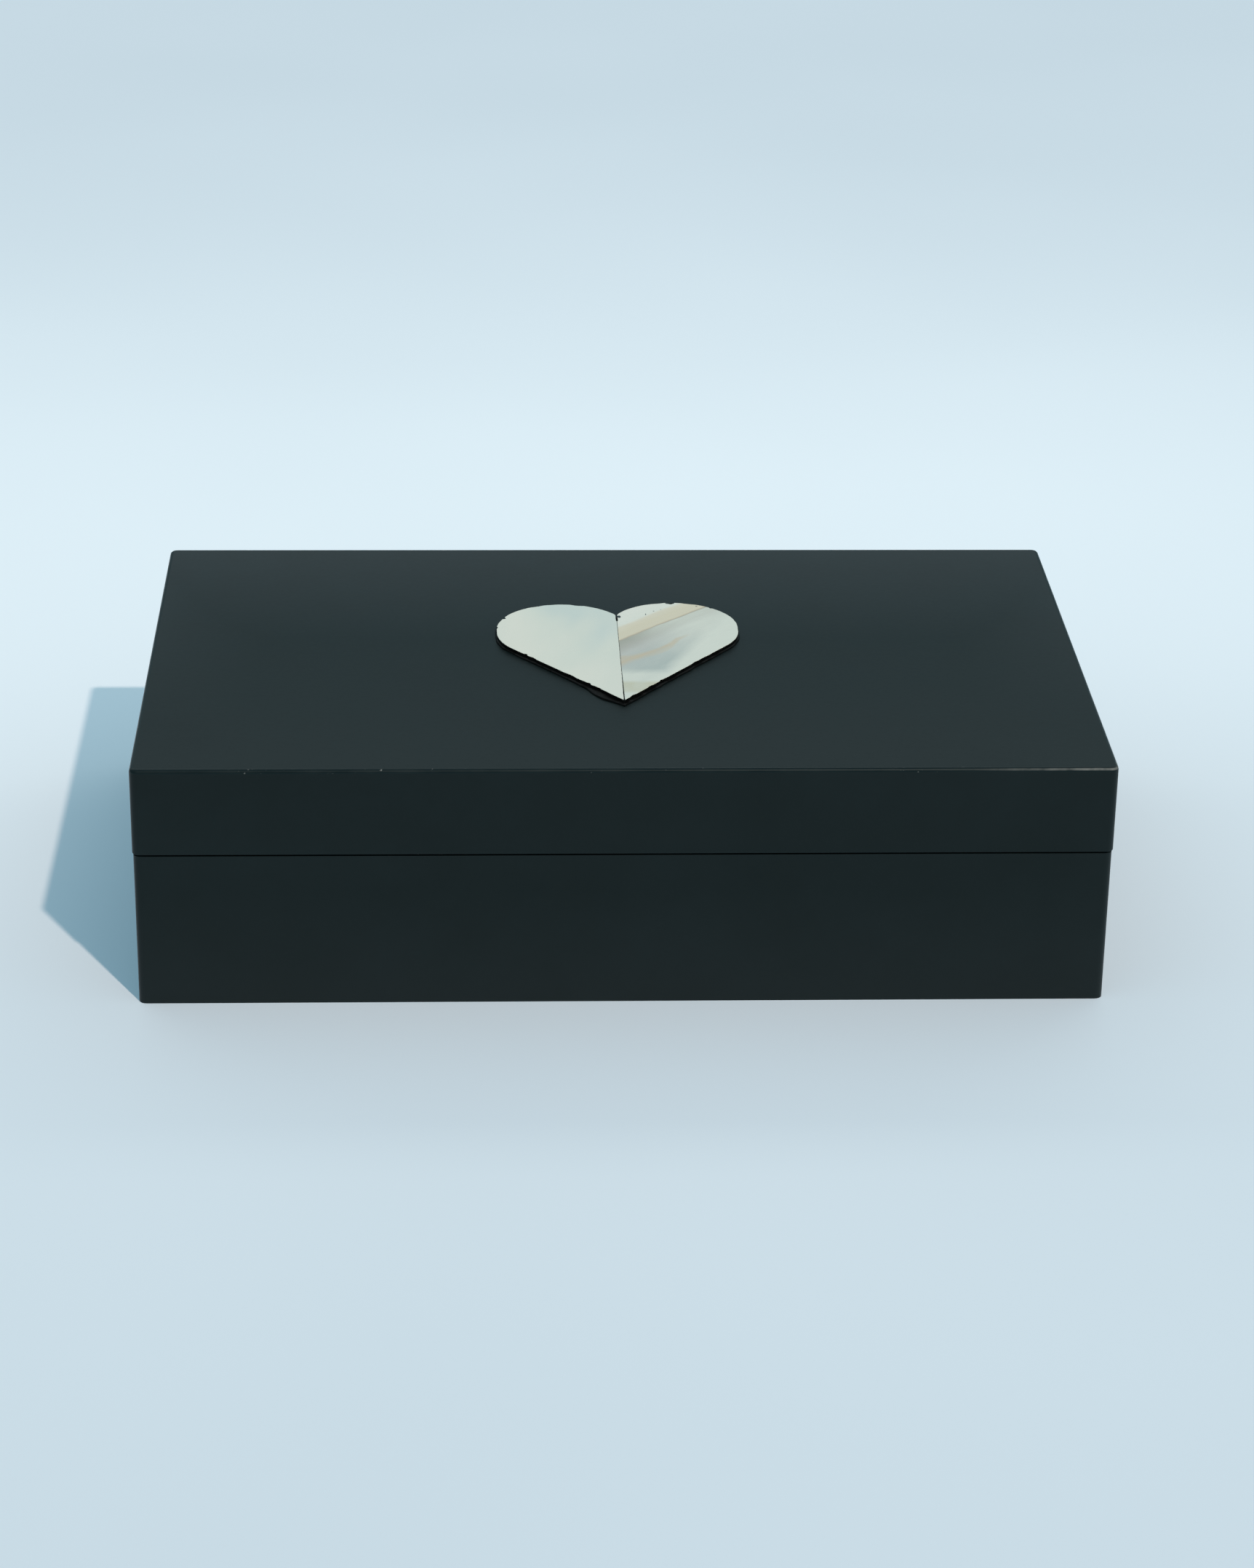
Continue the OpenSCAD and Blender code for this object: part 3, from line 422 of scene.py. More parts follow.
def pale_shell():
    """Almost even white shell with faint upright clouds, cooler at its upper middle."""
    g = Graph("pale_shell")
    x, y, _ = g.axes(g.coords)
    turn = (0, 0, -12)
    veil = g.noise(26, detail=2, distortion=0.6, where=g.placed(stretch=(0.8, 2.2, 1), turn=turn))
    fine = g.noise(160, detail=3, rough=0.5, where=g.placed(stretch=(1, 3, 1), turn=turn))
    off_side = g.spread(g.size(g.plus(x, 14 * MM)), 3 * MM, 12 * MM, 1, 0.1)
    cool = g.times(off_side, g.spread(y, -16 * MM, 28 * MM, 0, 1.5))
    paler_tip = g.spread(y, -5 * MM, -30 * MM, 0, 0.07)
    clouds = g.plus(g.times(veil, 0.92), g.times(fine, 0.08))
    tone = g.minus(clouds, g.minus(g.times(cool, 0.16), paler_tip))
    stops = [(0.28, (0.63, 0.74, 0.70)), (0.46, (0.72, 0.795, 0.715)), (0.66, (0.80, 0.835, 0.745))]
    rough = g.spread(fine, 0.3, 0.7, 0.22, 0.3)
    return g.finish(g.ramp(tone, stops), rough, g.bump(veil, 0.04, 0.2 * MM),
                    Coat_Weight=0.3, Coat_Roughness=0.12)


def chipped(g, shade, spots):
    """Small black losses: each spot's centre and half sizes in mm."""
    x, y, _ = g.axes(g.coords)
    ragged = g.times(g.minus(g.noise(1300, detail=3), 0.5), 1.4)
    for centre_x, centre_y, half_x, half_y in spots:
        across = g.square(g.times(g.minus(x, centre_x * MM), 1 / (half_x * MM)))
        along = g.square(g.times(g.minus(y, centre_y * MM), 1 / (half_y * MM)))
        inside = g.spread(g.plus(g.plus(across, along), ragged), 0.8, 1.2, 1, 0)
        shade = g.mix(inside, shade, (0.012, 0.016, 0.016))
    return shade


# Growth bands of the right half, from its tip side to its upper left: distance across them in mm, and colour
BANDS = [
    (-24, (0.60, 0.68, 0.64)),
    (-17, (0.47, 0.555, 0.525)),
    (-12, (0.50, 0.575, 0.545)),
    (-8, (0.52, 0.575, 0.54)),
    (-4.5, (0.54, 0.58, 0.54)),
    (-1.5, (0.47, 0.49, 0.44)),
    (1.6, (0.40, 0.425, 0.36)),
    (2.3, (0.47, 0.44, 0.35)),
    (2.6, (0.66, 0.60, 0.44)),
    (3.1, (0.71, 0.685, 0.53)),
    (6, (0.71, 0.685, 0.525)),
    (8.2, (0.735, 0.715, 0.57)),
    (9.6, (0.77, 0.83, 0.75)),
    (16, (0.80, 0.845, 0.77)),
]
BAND_TURN = 46
RIGHT_SPOTS = [
    (1.7, 21.7, 0.45, 0.9),
    (16.0, 31.6, 1.3, 0.55),
    (9.1, 23.4, 0.12, 0.5),
    (11.4, 25.8, 0.2, 0.2),
    (13.4, 27.0, 0.15, 0.15),
    (23.4, 29.3, 0.3, 0.2),
]


def streaked_shell():
    """Growth bands that lean to the upper right, one wavy orange streak, and a pale right-hand side."""
    g = Graph("streaked_shell")
    turn = (0, 0, BAND_TURN)
    _, y, _ = g.axes(g.coords)
    along, across, _ = g.axes(g.placed(turn=turn))
    slow = g.noise(60, detail=3, where=g.placed(stretch=(1.8, 1, 1), turn=turn))
    cloud = g.noise(110, detail=4, distortion=0.7, where=g.placed(stretch=(2.4, 1, 1), turn=turn))
    fibre = g.noise(480, detail=4, rough=0.55, where=g.placed(stretch=(6, 1, 1), turn=turn))
    wander = g.plus(g.times(slow, 5 * MM), g.times(fibre, 0.9 * MM))
    place = g.plus(across, g.minus(wander, 2.4 * MM))
    low, high = BANDS[0][0], BANDS[-1][0]
    stops = [((mm - low) / (high - low), colour) for mm, colour in BANDS]
    shade = g.ramp(g.spread(place, low * MM, high * MM), stops)

    # The grey under the beige band fades out to the upper right
    fading = g.times(g.spread(along, 6 * MM, 26 * MM, 0, 0.95), g.spread(place, 2.2 * MM, 1.8 * MM))
    shade = g.mix(g.times(fading, g.spread(cloud, 0.3, 0.6, 0.65, 1)), shade, (0.71, 0.775, 0.695))

    # The pale side starts along a steeper line than the bands, and below the blue-grey patch
    side = g.minus(g.times(along, 0.35), g.plus(place, 18.6 * MM))
    pale = g.larger(g.spread(side, -1 * MM, 2.5 * MM), g.spread(y, -15.5 * MM, -19.5 * MM))
    shade = g.mix(g.times(pale, g.spread(cloud, 0.3, 0.55, 0.7, 1)), shade, (0.73, 0.80, 0.72))
    tip = g.times(g.spread(y, -23.5 * MM, -25.5 * MM), g.spread(y, -32.5 * MM, -30.5 * MM))
    shade = g.mix(g.times(tip, g.spread(cloud, 0.35, 0.55, 0.5, 1)), shade, (0.58, 0.60, 0.45))

    # The streak dips in its middle, is widest at its left end and fades out to the upper right
    dip = g.times(g.square(g.times(g.minus(along, 6 * MM), 20.0)), 0.05)
    line = g.minus(g.plus(across, 10.1 * MM), g.math("MINIMUM", dip, 1.9 * MM))
    ragged = g.times(g.minus(cloud, 0.5), 3 * MM)
    width = g.spread(along, -6 * MM, 19 * MM, 1.3, 0.4)
    near = g.spread(g.math("DIVIDE", g.size(g.plus(line, ragged)), width), 0.8 * MM, 2.2 * MM, 1, 0)
    streak = g.times(near, g.spread(along, 14 * MM, 21 * MM, 1, 0))
    shade = g.mix(g.times(streak, g.spread(fibre, 0.35, 0.6, 0.45, 0.95)), shade, (0.60, 0.53, 0.375))

    shade = g.mix(g.spread(cloud, 0.5, 0.75, 0, 0.25), shade, (0.72, 0.78, 0.70))
    shade = chipped(g, shade, RIGHT_SPOTS)
    rough = g.spread(fibre, 0.3, 0.7, 0.2, 0.32)
    return g.finish(shade, rough, g.bump(fibre, 0.05, 0.1 * MM), Coat_Weight=0.3, Coat_Roughness=0.12)


PAINT = satin_paint()
EDGE_WEAR_AND_GLINT = worn_and_glinting_edge()
VELVET = velvet("burgundy_velvet", (0.13, 0.008, 0.018), (0.045, 0.002, 0.006))
BRASS = metal("brass", (0.80, 0.58, 0.26), (0.42, 0.28, 0.12), 0.26)
BRASS_TURNED = metal("turned_brass", (0.82, 0.62, 0.30), (0.45, 0.31, 0.14), 0.22, grain=(0.16, 1, 1))
STEEL = metal("steel", (0.62, 0.62, 0.61), (0.36, 0.35, 0.34), 0.25)
COMB_STEEL = metal("comb_steel", (0.68, 0.70, 0.71), (0.40, 0.41, 0.42), 0.24, grain=(1, 0.12, 1),
                   tarnish=0.15)
SPRING_STEEL = metal("blued_spring_steel", (0.20, 0.23, 0.28), (0.12, 0.12, 0.13), 0.32)
ZINC = cast_metal()
HARDBOARD = board("brown_hardboard", (0.055, 0.032, 0.018), (0.13, 0.082, 0.05))
BLACK_BOARD = board("black_stained_board", (0.008, 0.009, 0.01), (0.02, 0.021, 0.022))
BLOCK_WOOD = board("bare_block_wood", (0.34, 0.22, 0.12), (0.52, 0.38, 0.23))
RUBBER = rubber()
FAN_PLASTIC = plastic("cream_plastic", (0.66, 0.62, 0.52), (0.76, 0.72, 0.62))
CLEAR = clear_plastic()
GLUE = glue()
PALE_SHELL = pale_shell()
STREAKED_SHELL = streaked_shell()


def paint_with(obj, *materials):
    for material in materials:
        obj.data.materials.append(material)


def dress_cad(name, material, edge=0.0):
    for slot in nodes[name].material_slots:
        slot.material = material
    if edge:
        soften_cad(name, edge)


# Case

CORNER_R = 2.0 * MM
LEAF_T = 1.0 * MM
POCKET_CLEAR = 0.3 * MM
EDGE_ROUND = 1.0 * MM
GROOVE_REACH = 8 * MM
GROOVE_SPARE_DEG = 0.5
RIM_SHARE = 0.4
LONG_EDGE = 20 * MM
OUTER_BAND = 2.2 * MM
BORE_CLEAR = 0.05 * MM
LEVER_SLOT_HALF = 1.25 * MM
LEVER_SLOT_LIFT = 1.6 * MM


def cut_hinge_side(shell, up, leaves):
    """Cuts the stop groove, the barrel pockets and the leaf mortises along the back."""
    half_angle = math.radians((LID_OPEN + GROOVE_SPARE_DEG) / 2)
    reach = GROOVE_REACH
    drop = reach * math.tan(half_angle)
    y, z = hinge.y, hinge.z
    profile = [(y, z), (y + reach, z + up * drop), (y + reach, z - up * reach), (y, z - up * reach)]
    if up > 0:
        profile.reverse()
    groove = prism("groove", profile, lid_low.x - reach, lid_high.x + reach, along_x=True)
    combine(shell, groove, "DIFFERENCE")
    for leaf in leaves:
        low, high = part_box(leaf)
        radius = abs((high.z if up < 0 else low.z) - hinge.z)
        pocket = prism("pocket", circle(y, z, radius + POCKET_CLEAR, 40), low.x - POCKET_CLEAR,
                       high.x + POCKET_CLEAR, along_x=True)
        combine(shell, pocket, "DIFFERENCE")
        face = rail_low.z if up > 0 else base_high.z
        bottom, top = (face - MM, face + LEAF_T) if up > 0 else (face - LEAF_T, face + MM)
        combine(shell, box_solid("mortise", (low.x, low.y, bottom), (high.x, y, top)), "DIFFERENCE")


def weigh_edges(shell, low, high, levels):
    """Sets how much of the bevel an edge gets: at each height in levels, the outer edges get its share and
    the long inner ones at most RIM_SHARE."""
    mesh = shell.data
    weights = mesh.attributes.get("bevel_weight_edge")
    if weights is None:
        weights = mesh.attributes.new("bevel_weight_edge", "FLOAT", "EDGE")
    for edge in mesh.edges:
        a, b = (mesh.vertices[v].co for v in edge.vertices)
        shares = [w for z, w in levels.items() if abs(a.z - z) < SAME and abs(b.z - z) < SAME]
        share = max(shares, default=0.0)
        depths = [min(p.x - low.x, high.x - p.x, p.y - low.y, high.y - p.y) for p in (a, b)]
        outer = max(depths) < OUTER_BAND
        if not outer:
            share = min(share, RIM_SHARE) if (a - b).length > LONG_EDGE else 0.0
        weights.data[edge.index].value = share


def make_base():
    outline = rounded_rectangle(base_low.x, base_low.y, base_high.x, base_high.y, CORNER_R)
    shell = prism("painted_base", outline, base_low.z, base_high.z)
    inner = rectangle(base_low.x + WALL_T, base_low.y + WALL_T, base_high.x - WALL_T, base_high.y - WALL_T)
    combine(shell, prism("inside", inner, -MM, base_high.z + MM), "DIFFERENCE")
    low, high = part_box("bottom_panel")
    combine(shell, box_solid("panel_groove", low, high), "DIFFERENCE")
    cut_hinge_side(shell, -1, ["hinge_left_lower_leaf", "hinge_right_lower_leaf"])
    plunger_low, plunger_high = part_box("stop_plunger")
    centre = (plunger_low + plunger_high) / 2
    radius = (plunger_high.x - plunger_low.x) / 2 + BORE_CLEAR
    bore = prism("plunger_bore", circle(centre.x, centre.y, radius), plunger_low.z - MM, base_high.z + MM)
    combine(shell, bore, "DIFFERENCE")
    spring_low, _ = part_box("stop_spring")
    half = LEVER_SLOT_HALF
    slot_low = (base_high.x - WALL_T - MM, centre.y - half, spring_low.z)
    slot_high = (centre.x + half, centre.y + half, plunger_low.z + LEVER_SLOT_LIFT)
    combine(shell, box_solid("lever_slot", slot_low, slot_high), "DIFFERENCE")
    weigh_edges(shell, base_low, base_high, {base_low.z: 1.0, base_high.z: 0.2})
    paint_with(shell, PAINT, EDGE_WEAR_AND_GLINT)
    soften(shell, EDGE_ROUND, 3, by_weight=True, wear_and_glint_slot=1)
    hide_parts(*BASE_WALLS)
    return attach(shell, "base")


def make_lid():
    outline = rounded_rectangle(lid_low.x, lid_low.y, lid_high.x, lid_high.y, CORNER_R)
    shell = prism("painted_lid", outline, lid_low.z, lid_high.z)
    inner = rectangle(lid_low.x + WALL_T, lid_low.y + WALL_T, lid_high.x - WALL_T, lid_high.y - WALL_T)
    combine(shell, prism("inside", inner, lid_low.z - MM, rail_high.z), "DIFFERENCE")
    cut_hinge_side(shell, 1, ["hinge_left_upper_leaf", "hinge_right_upper_leaf"])
    weigh_edges(shell, lid_low, lid_high, {lid_low.z: 0.15, lid_high.z: 1.0})
    paint_with(shell, PAINT, EDGE_WEAR_AND_GLINT)
    soften(shell, EDGE_ROUND, 3, by_weight=True, wear_and_glint_slot=1)
    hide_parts("lid_top_panel", *LID_RAILS)
    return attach(shell, "lid")


# Heart

HEART_SPACING = 0.35 * MM
HEART_CHAMFER = 0.07 * MM
HEART_CHIPS = 16
JOINT_BAND = 0.3 * MM
GLUE_SPACING = 0.4 * MM
GLUE_CHAMFER = 0.2 * MM
GLUE_LIFT = 0.3 * MM
GLUE_SEED = 5
# Glue squeeze-out at the lower left of the heart's tip. Its black is partly real glue and partly painted
# shade along that edge.
SPILL_AND_SHADE_PLACE = Vector((-4.5, -31.5)) * MM
SPILL_AND_SHADE_REACH = 5.5 * MM
SPILL_AND_SHADE_MM = 1.5
# Bites out of the edge: place, depth and half length in mm
LEFT_BITES = [
    (-29.6, 20.4, 0.8, 0.8),
    (-32.2, 14.0, 0.4, 0.5),
    (-24.5, -5.5, 0.5, 0.8),
    (-8.5, -26, 0.5, 1.0),
]
RIGHT_BITES = [
    (16.2, 32.4, 1.1, 1.0),
    (1.9, 22.2, 0.7, 0.7),
    (27.5, 28.5, 0.4, 0.5),
    (11.5, -23.5, 0.4, 0.6),
]
HEART_HALVES = [
    ("heart_left_half", "heart_shell_left", PALE_SHELL, "pale_shell", 3, LEFT_BITES),
    ("heart_right_half", "heart_shell_right", STREAKED_SHELL, "streaked_shell", 8, RIGHT_BITES),
]


def top_outline(name):
    """The outline of a flat CAD node's upper face, as an ordered list of points, counter-clockwise."""
    bm = bmesh.new()
    bm.from_mesh(nodes[name].data)
    bmesh.ops.remove_doubles(bm, verts=bm.verts, dist=SAME)
    bmesh.ops.dissolve_limit(bm, angle_limit=math.radians(0.5), verts=bm.verts, edges=bm.edges)
    upper = max((face for face in bm.faces if face.normal.z > 0.9), key=lambda face: face.calc_area())
    outline = [(loop.vert.co.x, loop.vert.co.y) for loop in upper.loops]
    bm.free()
    return outline


def resample(outline, spacing):
    points = []
    for a, b in zip(outline, outline[1:] + outline[:1]):
        length = math.dist(a, b)
        steps = max(1, round(length / spacing))
        points += [(a[0] + (b[0] - a[0]) * i / steps, a[1] + (b[1] - a[1]) * i / steps) for i in range(steps)]
    return points


def inset(points, distances):
    """Moves each point of a counter-clockwise outline inwards by its own distance."""
    moved = []
    for i, point in enumerate(points):
        before, after = points[i - 1], points[(i + 1) % len(points)]
        along = Vector((after[0] - before[0], after[1] - before[1])).normalized()
        moved.append((point[0] - along.y * distances[i], point[1] + along.x * distances[i]))
    return moved


def edge_losses(points, joint_x, seed, bites):
    """How much of the edge is missing at each point: fine roughness, seeded chips, the given bites, and a
    joint that is tight in its middle and opens towards both ends."""
    draw = random.Random(seed)
    count = len(points)
    losses = [max(0.0, 0.03 + 0.06 * noise.noise((p[0] * 900, p[1] * 900, seed))) * MM for p in points]
    for _ in range(HEART_CHIPS):
        centre = draw.randrange(count)
        half = draw.randint(2, 6)
        depth = draw.uniform(0.12, 0.45) * MM
        for k in range(-half, half + 1):
            shape = (1 - (k / (half + 1)) ** 2) * draw.uniform(0.75, 1.0)
            place = (centre + k) % count
            losses[place] = max(losses[place], depth * shape)
    for x, y, depth, half in bites:
        centre = min(points, key=lambda p: math.dist(p, (x * MM, y * MM)))
        for i, p in enumerate(points):
            reach = math.dist(p, centre) / (half * MM)
            losses[i] = max(losses[i], depth * MM * (1 - reach**2))
    for i, (x, y) in enumerate(points):
        if abs(x - joint_x) < JOINT_BAND:
            lower_gap = max(0.0, (-18 * MM - y) / (18 * MM)) * 0.09
            upper_gap = 0.22 if y > 18.5 * MM else 0
            rough = 0.03 * noise.noise((0, y * 700, seed))
            losses[i] = (lower_gap + upper_gap - 0.055 + rough) * MM
    return losses


def slab(name, points, low, high, edge, seed):
    """A flat piece with the given outline; its upper edge is a small broken chamfer. Sides use slot 1."""
    bm = bmesh.new()
    eased = inset(points, [edge * (0.8 + 0.5 * noise.noise((p[0] * 700, p[1] * 700, seed))) for p in points])
    levels = [(points, low), (points, high - edge), (eased, high)]
    rings = [[bm.verts.new((x, y, z)) for x, y in outline] for outline, z in levels]
    for lower, upper in zip(rings, rings[1:]):
        for i in range(len(points)):
            j = (i + 1) % len(points)
            face = bm.faces.new((lower[i], lower[j], upper[j], upper[i]))
            face.material_index = 1 if upper is rings[1] else 0
    top = bm.faces.new(rings[-1])
    bottom = bm.faces.new(reversed(rings[0]))
    bmesh.ops.triangulate(bm, faces=[top, bottom])
    return from_bmesh(name, bm)


def make_heart():
    for node, name, material, slot, seed, bites in HEART_HALVES:
        low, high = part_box(node)
        points = resample(top_outline(node), HEART_SPACING)
        joint_x = high.x if "left" in node else low.x
        points = inset(points, edge_losses(points, joint_x, seed, bites))
        half = slab(name, points, low.z, high.z, HEART_CHAMFER, seed)
        half.data.set_sharp_from_angle(angle=math.radians(25))
        paint_with(half, material, GLUE)
        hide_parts(node)
        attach(half, "lid")
    low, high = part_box("heart_glue_bed")
    points = resample(top_outline("heart_glue_bed"), GLUE_SPACING)
    losses = []
    for p in points:
        spill_and_shade = SPILL_AND_SHADE_MM * math.exp(-((Vector(p) - SPILL_AND_SHADE_PLACE).length / SPILL_AND_SHADE_REACH) ** 2)
        ragged = 0.25 * noise.noise((p[0] * 260, p[1] * 260, GLUE_SEED))
        losses.append((0.05 - spill_and_shade + ragged) * MM)
    points = inset(points, losses)
    bead = slab("heart_glue_line", points, low.z, high.z + GLUE_LIFT, GLUE_CHAMFER, GLUE_SEED)
    bead.data.set_sharp_from_angle(angle=math.radians(50))
    paint_with(bead, GLUE, GLUE)
    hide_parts("heart_glue_bed")
    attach(bead, "lid")


# Lining

BOARD_T = 1.5 * MM
BOARD_ROUND = 0.55 * MM
CUSHION_STEP = 2.5 * MM
CUSHION_PUCKER = 0.25 * MM
PUCKER_REACH = 5 * MM
CUSHION_LEAST = 0.4 * MM
PAD_CROWN = 0.3
PUFF_PRESSURE = 4.0
PUFF_FRAMES = 12
ROLL_AROUND = 44
ROLL_ALONG = 48
ROLL_GATHER = 3 * MM
ROLL_FOLD = 0.25 * MM


def ease(t):
    """0 to 1 with a slow start and end, so that rows lie closer together near both ends."""
    return 0.5 - 0.5 * math.cos(math.pi * t)


def cushion(name, low, high, radius, sag, seed, facing):
    """A velvet-covered foam pad: rounded edges, a slightly uneven face and puckers along its sides. It faces
    up with facing 1 and down with -1."""
    nx = max(8, round((high.x - low.x) / CUSHION_STEP))
    ny = max(8, round((high.y - low.y) / CUSHION_STEP))
    bm = bmesh.new()
    grid = []
    for j in range(ny + 1):
        row = []
        for i in range(nx + 1):
            u, v = i / nx, j / ny
            x = low.x + (high.x - low.x) * (0.35 * u + 0.65 * ease(u))
            y = low.y + (high.y - low.y) * (0.35 * v + 0.65 * ease(v))
            edge = min(x - low.x, high.x - x, y - low.y, high.y - y)
            fall = radius - math.sqrt(max(0.0, radius**2 - (radius - min(edge, radius)) ** 2))
            hollow = sag * (0.5 + 0.5 * noise.noise((x * 22, y * 22, seed)))
            crease = abs(noise.noise((x * 160, y * 160, seed + 4)))
            pucker = CUSHION_PUCKER * crease * math.exp(-edge / PUCKER_REACH)
            drop = min(fall + hollow + pucker, high.z - low.z - CUSHION_LEAST)
            z = high.z - drop if facing > 0 else low.z + drop
            row.append(bm.verts.new((x, y, z)))
        grid.append(row)
    for j in range(ny):
        for i in range(nx):
            bm.faces.new((grid[j][i], grid[j][i + 1], grid[j + 1][i + 1], grid[j + 1][i]))
    rim = grid[0][:-1] + [row[-1] for row in grid[:-1]] + grid[-1][:0:-1] + [row[0] for row in grid[:0:-1]]
    back = low.z if facing > 0 else high.z
    foot = [bm.verts.new((v.co.x, v.co.y, back)) for v in rim]
    for i in range(len(rim)):
        j = (i + 1) % len(rim)
        bm.faces.new((rim[i], foot[i], foot[j], rim[j]))
    bm.faces.new(foot)
    obj = from_bmesh(name, bm)
    for polygon in obj.data.polygons:
        polygon.use_smooth = len(polygon.vertices) == 4
    obj.data.set_sharp_from_angle(angle=math.radians(60))
    return obj


def puff(obj, low, high, glued_z, crown):
    """Blows the cover up by cloth simulation while its glued side is held. The simulated moves are scaled so
    that the furthest is crown long, and the shape stays inside the box from low to high."""
    mesh = obj.data
    held = obj.vertex_groups.new(name="held")
    held.add([v.index for v in mesh.vertices if abs(v.co.z - glued_z) < 0.05 * MM], 1.0, "REPLACE")
    cloth = obj.modifiers.new("puff", "CLOTH")
    cloth.settings.use_pressure = True
    cloth.settings.uniform_pressure_force = PUFF_PRESSURE
    cloth.settings.vertex_group_mass = held.name
    cloth.settings.effector_weights.gravity = 0.0
    cloth.collision_settings.use_collision = False
    for step in range(1, PUFF_FRAMES + 1):
        bpy.context.scene.frame_set(step)
    puffed = obj.evaluated_get(bpy.context.evaluated_depsgraph_get()).to_mesh()
    moves = [end.co - start.co for start, end in zip(mesh.vertices, puffed.vertices)]
    obj.modifiers.clear()
    obj.vertex_groups.clear()
    bpy.context.scene.frame_set(1)
    share = crown / max(move.length for move in moves)
    for vert, move in zip(mesh.vertices, moves):
        place = vert.co + move * share
        vert.co = [min(max(place[k], low[k]), high[k]) for k in range(3)]


def velvet_piece(obj, body, *replaced):
    paint_with(obj, VELVET)
    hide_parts(*replaced)
    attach(obj, body)


def covered_boards(name, group, body):
    """Four boards round a compartment, each wrapped in velvet with soft edges."""
    low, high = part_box(group)
    gap = 0.1 * MM
    t = BOARD_T
    spans = [
        (low, (low.x + t, high.y, high.z)),
        ((high.x - t, low.y, low.z), high),
        ((low.x + t + gap, low.y, low.z), (high.x - t - gap, low.y + t, high.z)),
        ((low.x + t + gap, high.y - t, low.z), (high.x - t - gap, high.y, high.z)),
    ]
    bm = bmesh.new()
    for first, last in spans:
        first, last = Vector(first), Vector(last)
        size = last - first
        made = bmesh.ops.create_cube(bm, size=1.0)
        bmesh.ops.scale(bm, vec=size, verts=made["verts"])
        bmesh.ops.translate(bm, vec=(first + last) / 2, verts=made["verts"])
    obj = from_bmesh(name, bm)
    soften(obj, BOARD_ROUND, 3)
    velvet_piece(obj, body, group)


def make_rolls():
    """Velvet ring rolls: soft cylinders lying side by side, gathered at their ends."""
    low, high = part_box("ring_rolls")
    radius = (high.z - low.z) / 2
    count = max(1, math.floor((high.y - low.y) / (2 * radius)))
    pitch = (high.y - low.y - 2 * radius) / max(1, count - 1)
    bm = bmesh.new()
    for roll in range(count):
        y = low.y + radius + roll * pitch
        rings = []
        for i in range(ROLL_ALONG + 1):
            x = low.x + (high.x - low.x) * ease(i / ROLL_ALONG)
            end = min(x - low.x, high.x - x)
            close = min(1.0, end / ROLL_GATHER)
            ring = []
            for k in range(ROLL_AROUND):
                angle = 2 * math.pi * k / ROLL_AROUND
                fold = noise.noise((x * 120, roll * 3 + math.cos(angle) * 1.5, math.sin(angle) * 1.5))
                r = radius * (0.55 + 0.45 * math.sqrt(1 - (1 - close) ** 2)) - ROLL_FOLD * (0.5 + fold)
                ring.append(bm.verts.new((x, y + r * math.cos(angle), low.z + radius + r * math.sin(angle))))
            rings.append(ring)
        for a, b in zip(rings, rings[1:]):
            for k in range(ROLL_AROUND):
                m = (k + 1) % ROLL_AROUND
                bm.faces.new((a[k], a[m], b[m], b[k]))
        bm.faces.new(rings[0])
        bm.faces.new(reversed(rings[-1]))
    obj = from_bmesh("velvet_ring_rolls", bm)
    for polygon in obj.data.polygons:
        polygon.use_smooth = len(polygon.vertices) == 4
    velvet_piece(obj, "base", "ring_rolls")


def make_pad(node, name, body, radius, sag, seed, facing):
    """A cushion glued by its back, made thinner than its CAD box by the crown that the simulation adds."""
    low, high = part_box(node)
    crown = PAD_CROWN * (high.z - low.z)
    if facing > 0:
        pad = cushion(name, low, Vector((high.x, high.y, high.z - crown)), radius, sag, seed, facing)
    else:
        pad = cushion(name, Vector((low.x, low.y, low.z + crown)), high, radius, sag, seed, facing)
    puff(pad, low, high, low.z if facing > 0 else high.z, crown)
    velvet_piece(pad, body, node)


def make_lining():
    covered_boards("well_lining", "well_liner_boards", "base")
    covered_boards("ring_lining", "ring_liner_boards", "base")
    covered_boards("lid_lining", "lid_liner_boards", "lid")
    make_pad("well_floor_pad", "velvet_floor_pad", "base", 1.8 * MM, 0.4 * MM, 2, facing=1)
    make_pad("lid_pad", "velvet_lid_pad", "lid", 1.2 * MM, 0.2 * MM, 9, facing=-1)
    make_rolls()


# Screws


def lathe(name, profile, steps=28):
    """A closed solid of revolution about Z from (radius, height) points, from the bottom centre up."""
    bm = bmesh.new()
    bottom = bm.verts.new((0, 0, profile[0][1]))
    top = bm.verts.new((0, 0, profile[-1][1]))
    rings = []
    for radius, z in profile:
        turn = 2 * math.pi / steps
        rings.append([bm.verts.new((radius * math.cos(k * turn), radius * math.sin(k * turn), z))
                      for k in range(steps)])
    for a, b in zip(rings, rings[1:]):
        for k in range(steps):
            m = (k + 1) % steps
            bm.faces.new((a[k], a[m], b[m], b[k]))
    for k in range(steps):
        m = (k + 1) % steps
        bm.faces.new((bottom, rings[0][m], rings[0][k]))
        bm.faces.new((top, rings[-1][k], rings[-1][m]))
    return from_bmesh(name, bm)


def slotted_screw(name, head_r, head_h, shank_r, length, flat):
    """A screw that points down with its head on z = 0: flat and countersunk, or low and domed."""
    if flat:
        head = [(shank_r, -head_h), (head_r * 0.97, -0.08 * MM), (head_r, -0.02 * MM), (head_r * 0.97, 0)]
        top = 0.0
    else:
        head = [(shank_r, 0), (head_r * 0.96, 0), (head_r, head_h * 0.12), (head_r, head_h * 0.5),
                (head_r * 0.9, head_h * 0.8), (head_r * 0.65, head_h * 0.96), (head_r * 0.3, head_h)]
        top = head_h
    tip = -length
    profile = [(shank_r * 0.6, tip), (shank_r, tip + 0.5 * MM)] + head
    screw = lathe(name, profile)
    width, depth = head_r * 0.16, head_h * 0.45
    slot = box_solid("slot", (-2 * head_r, -width, top - depth), (2 * head_r, width, top + MM))
    combine(screw, slot, "DIFFERENCE")
    return screw


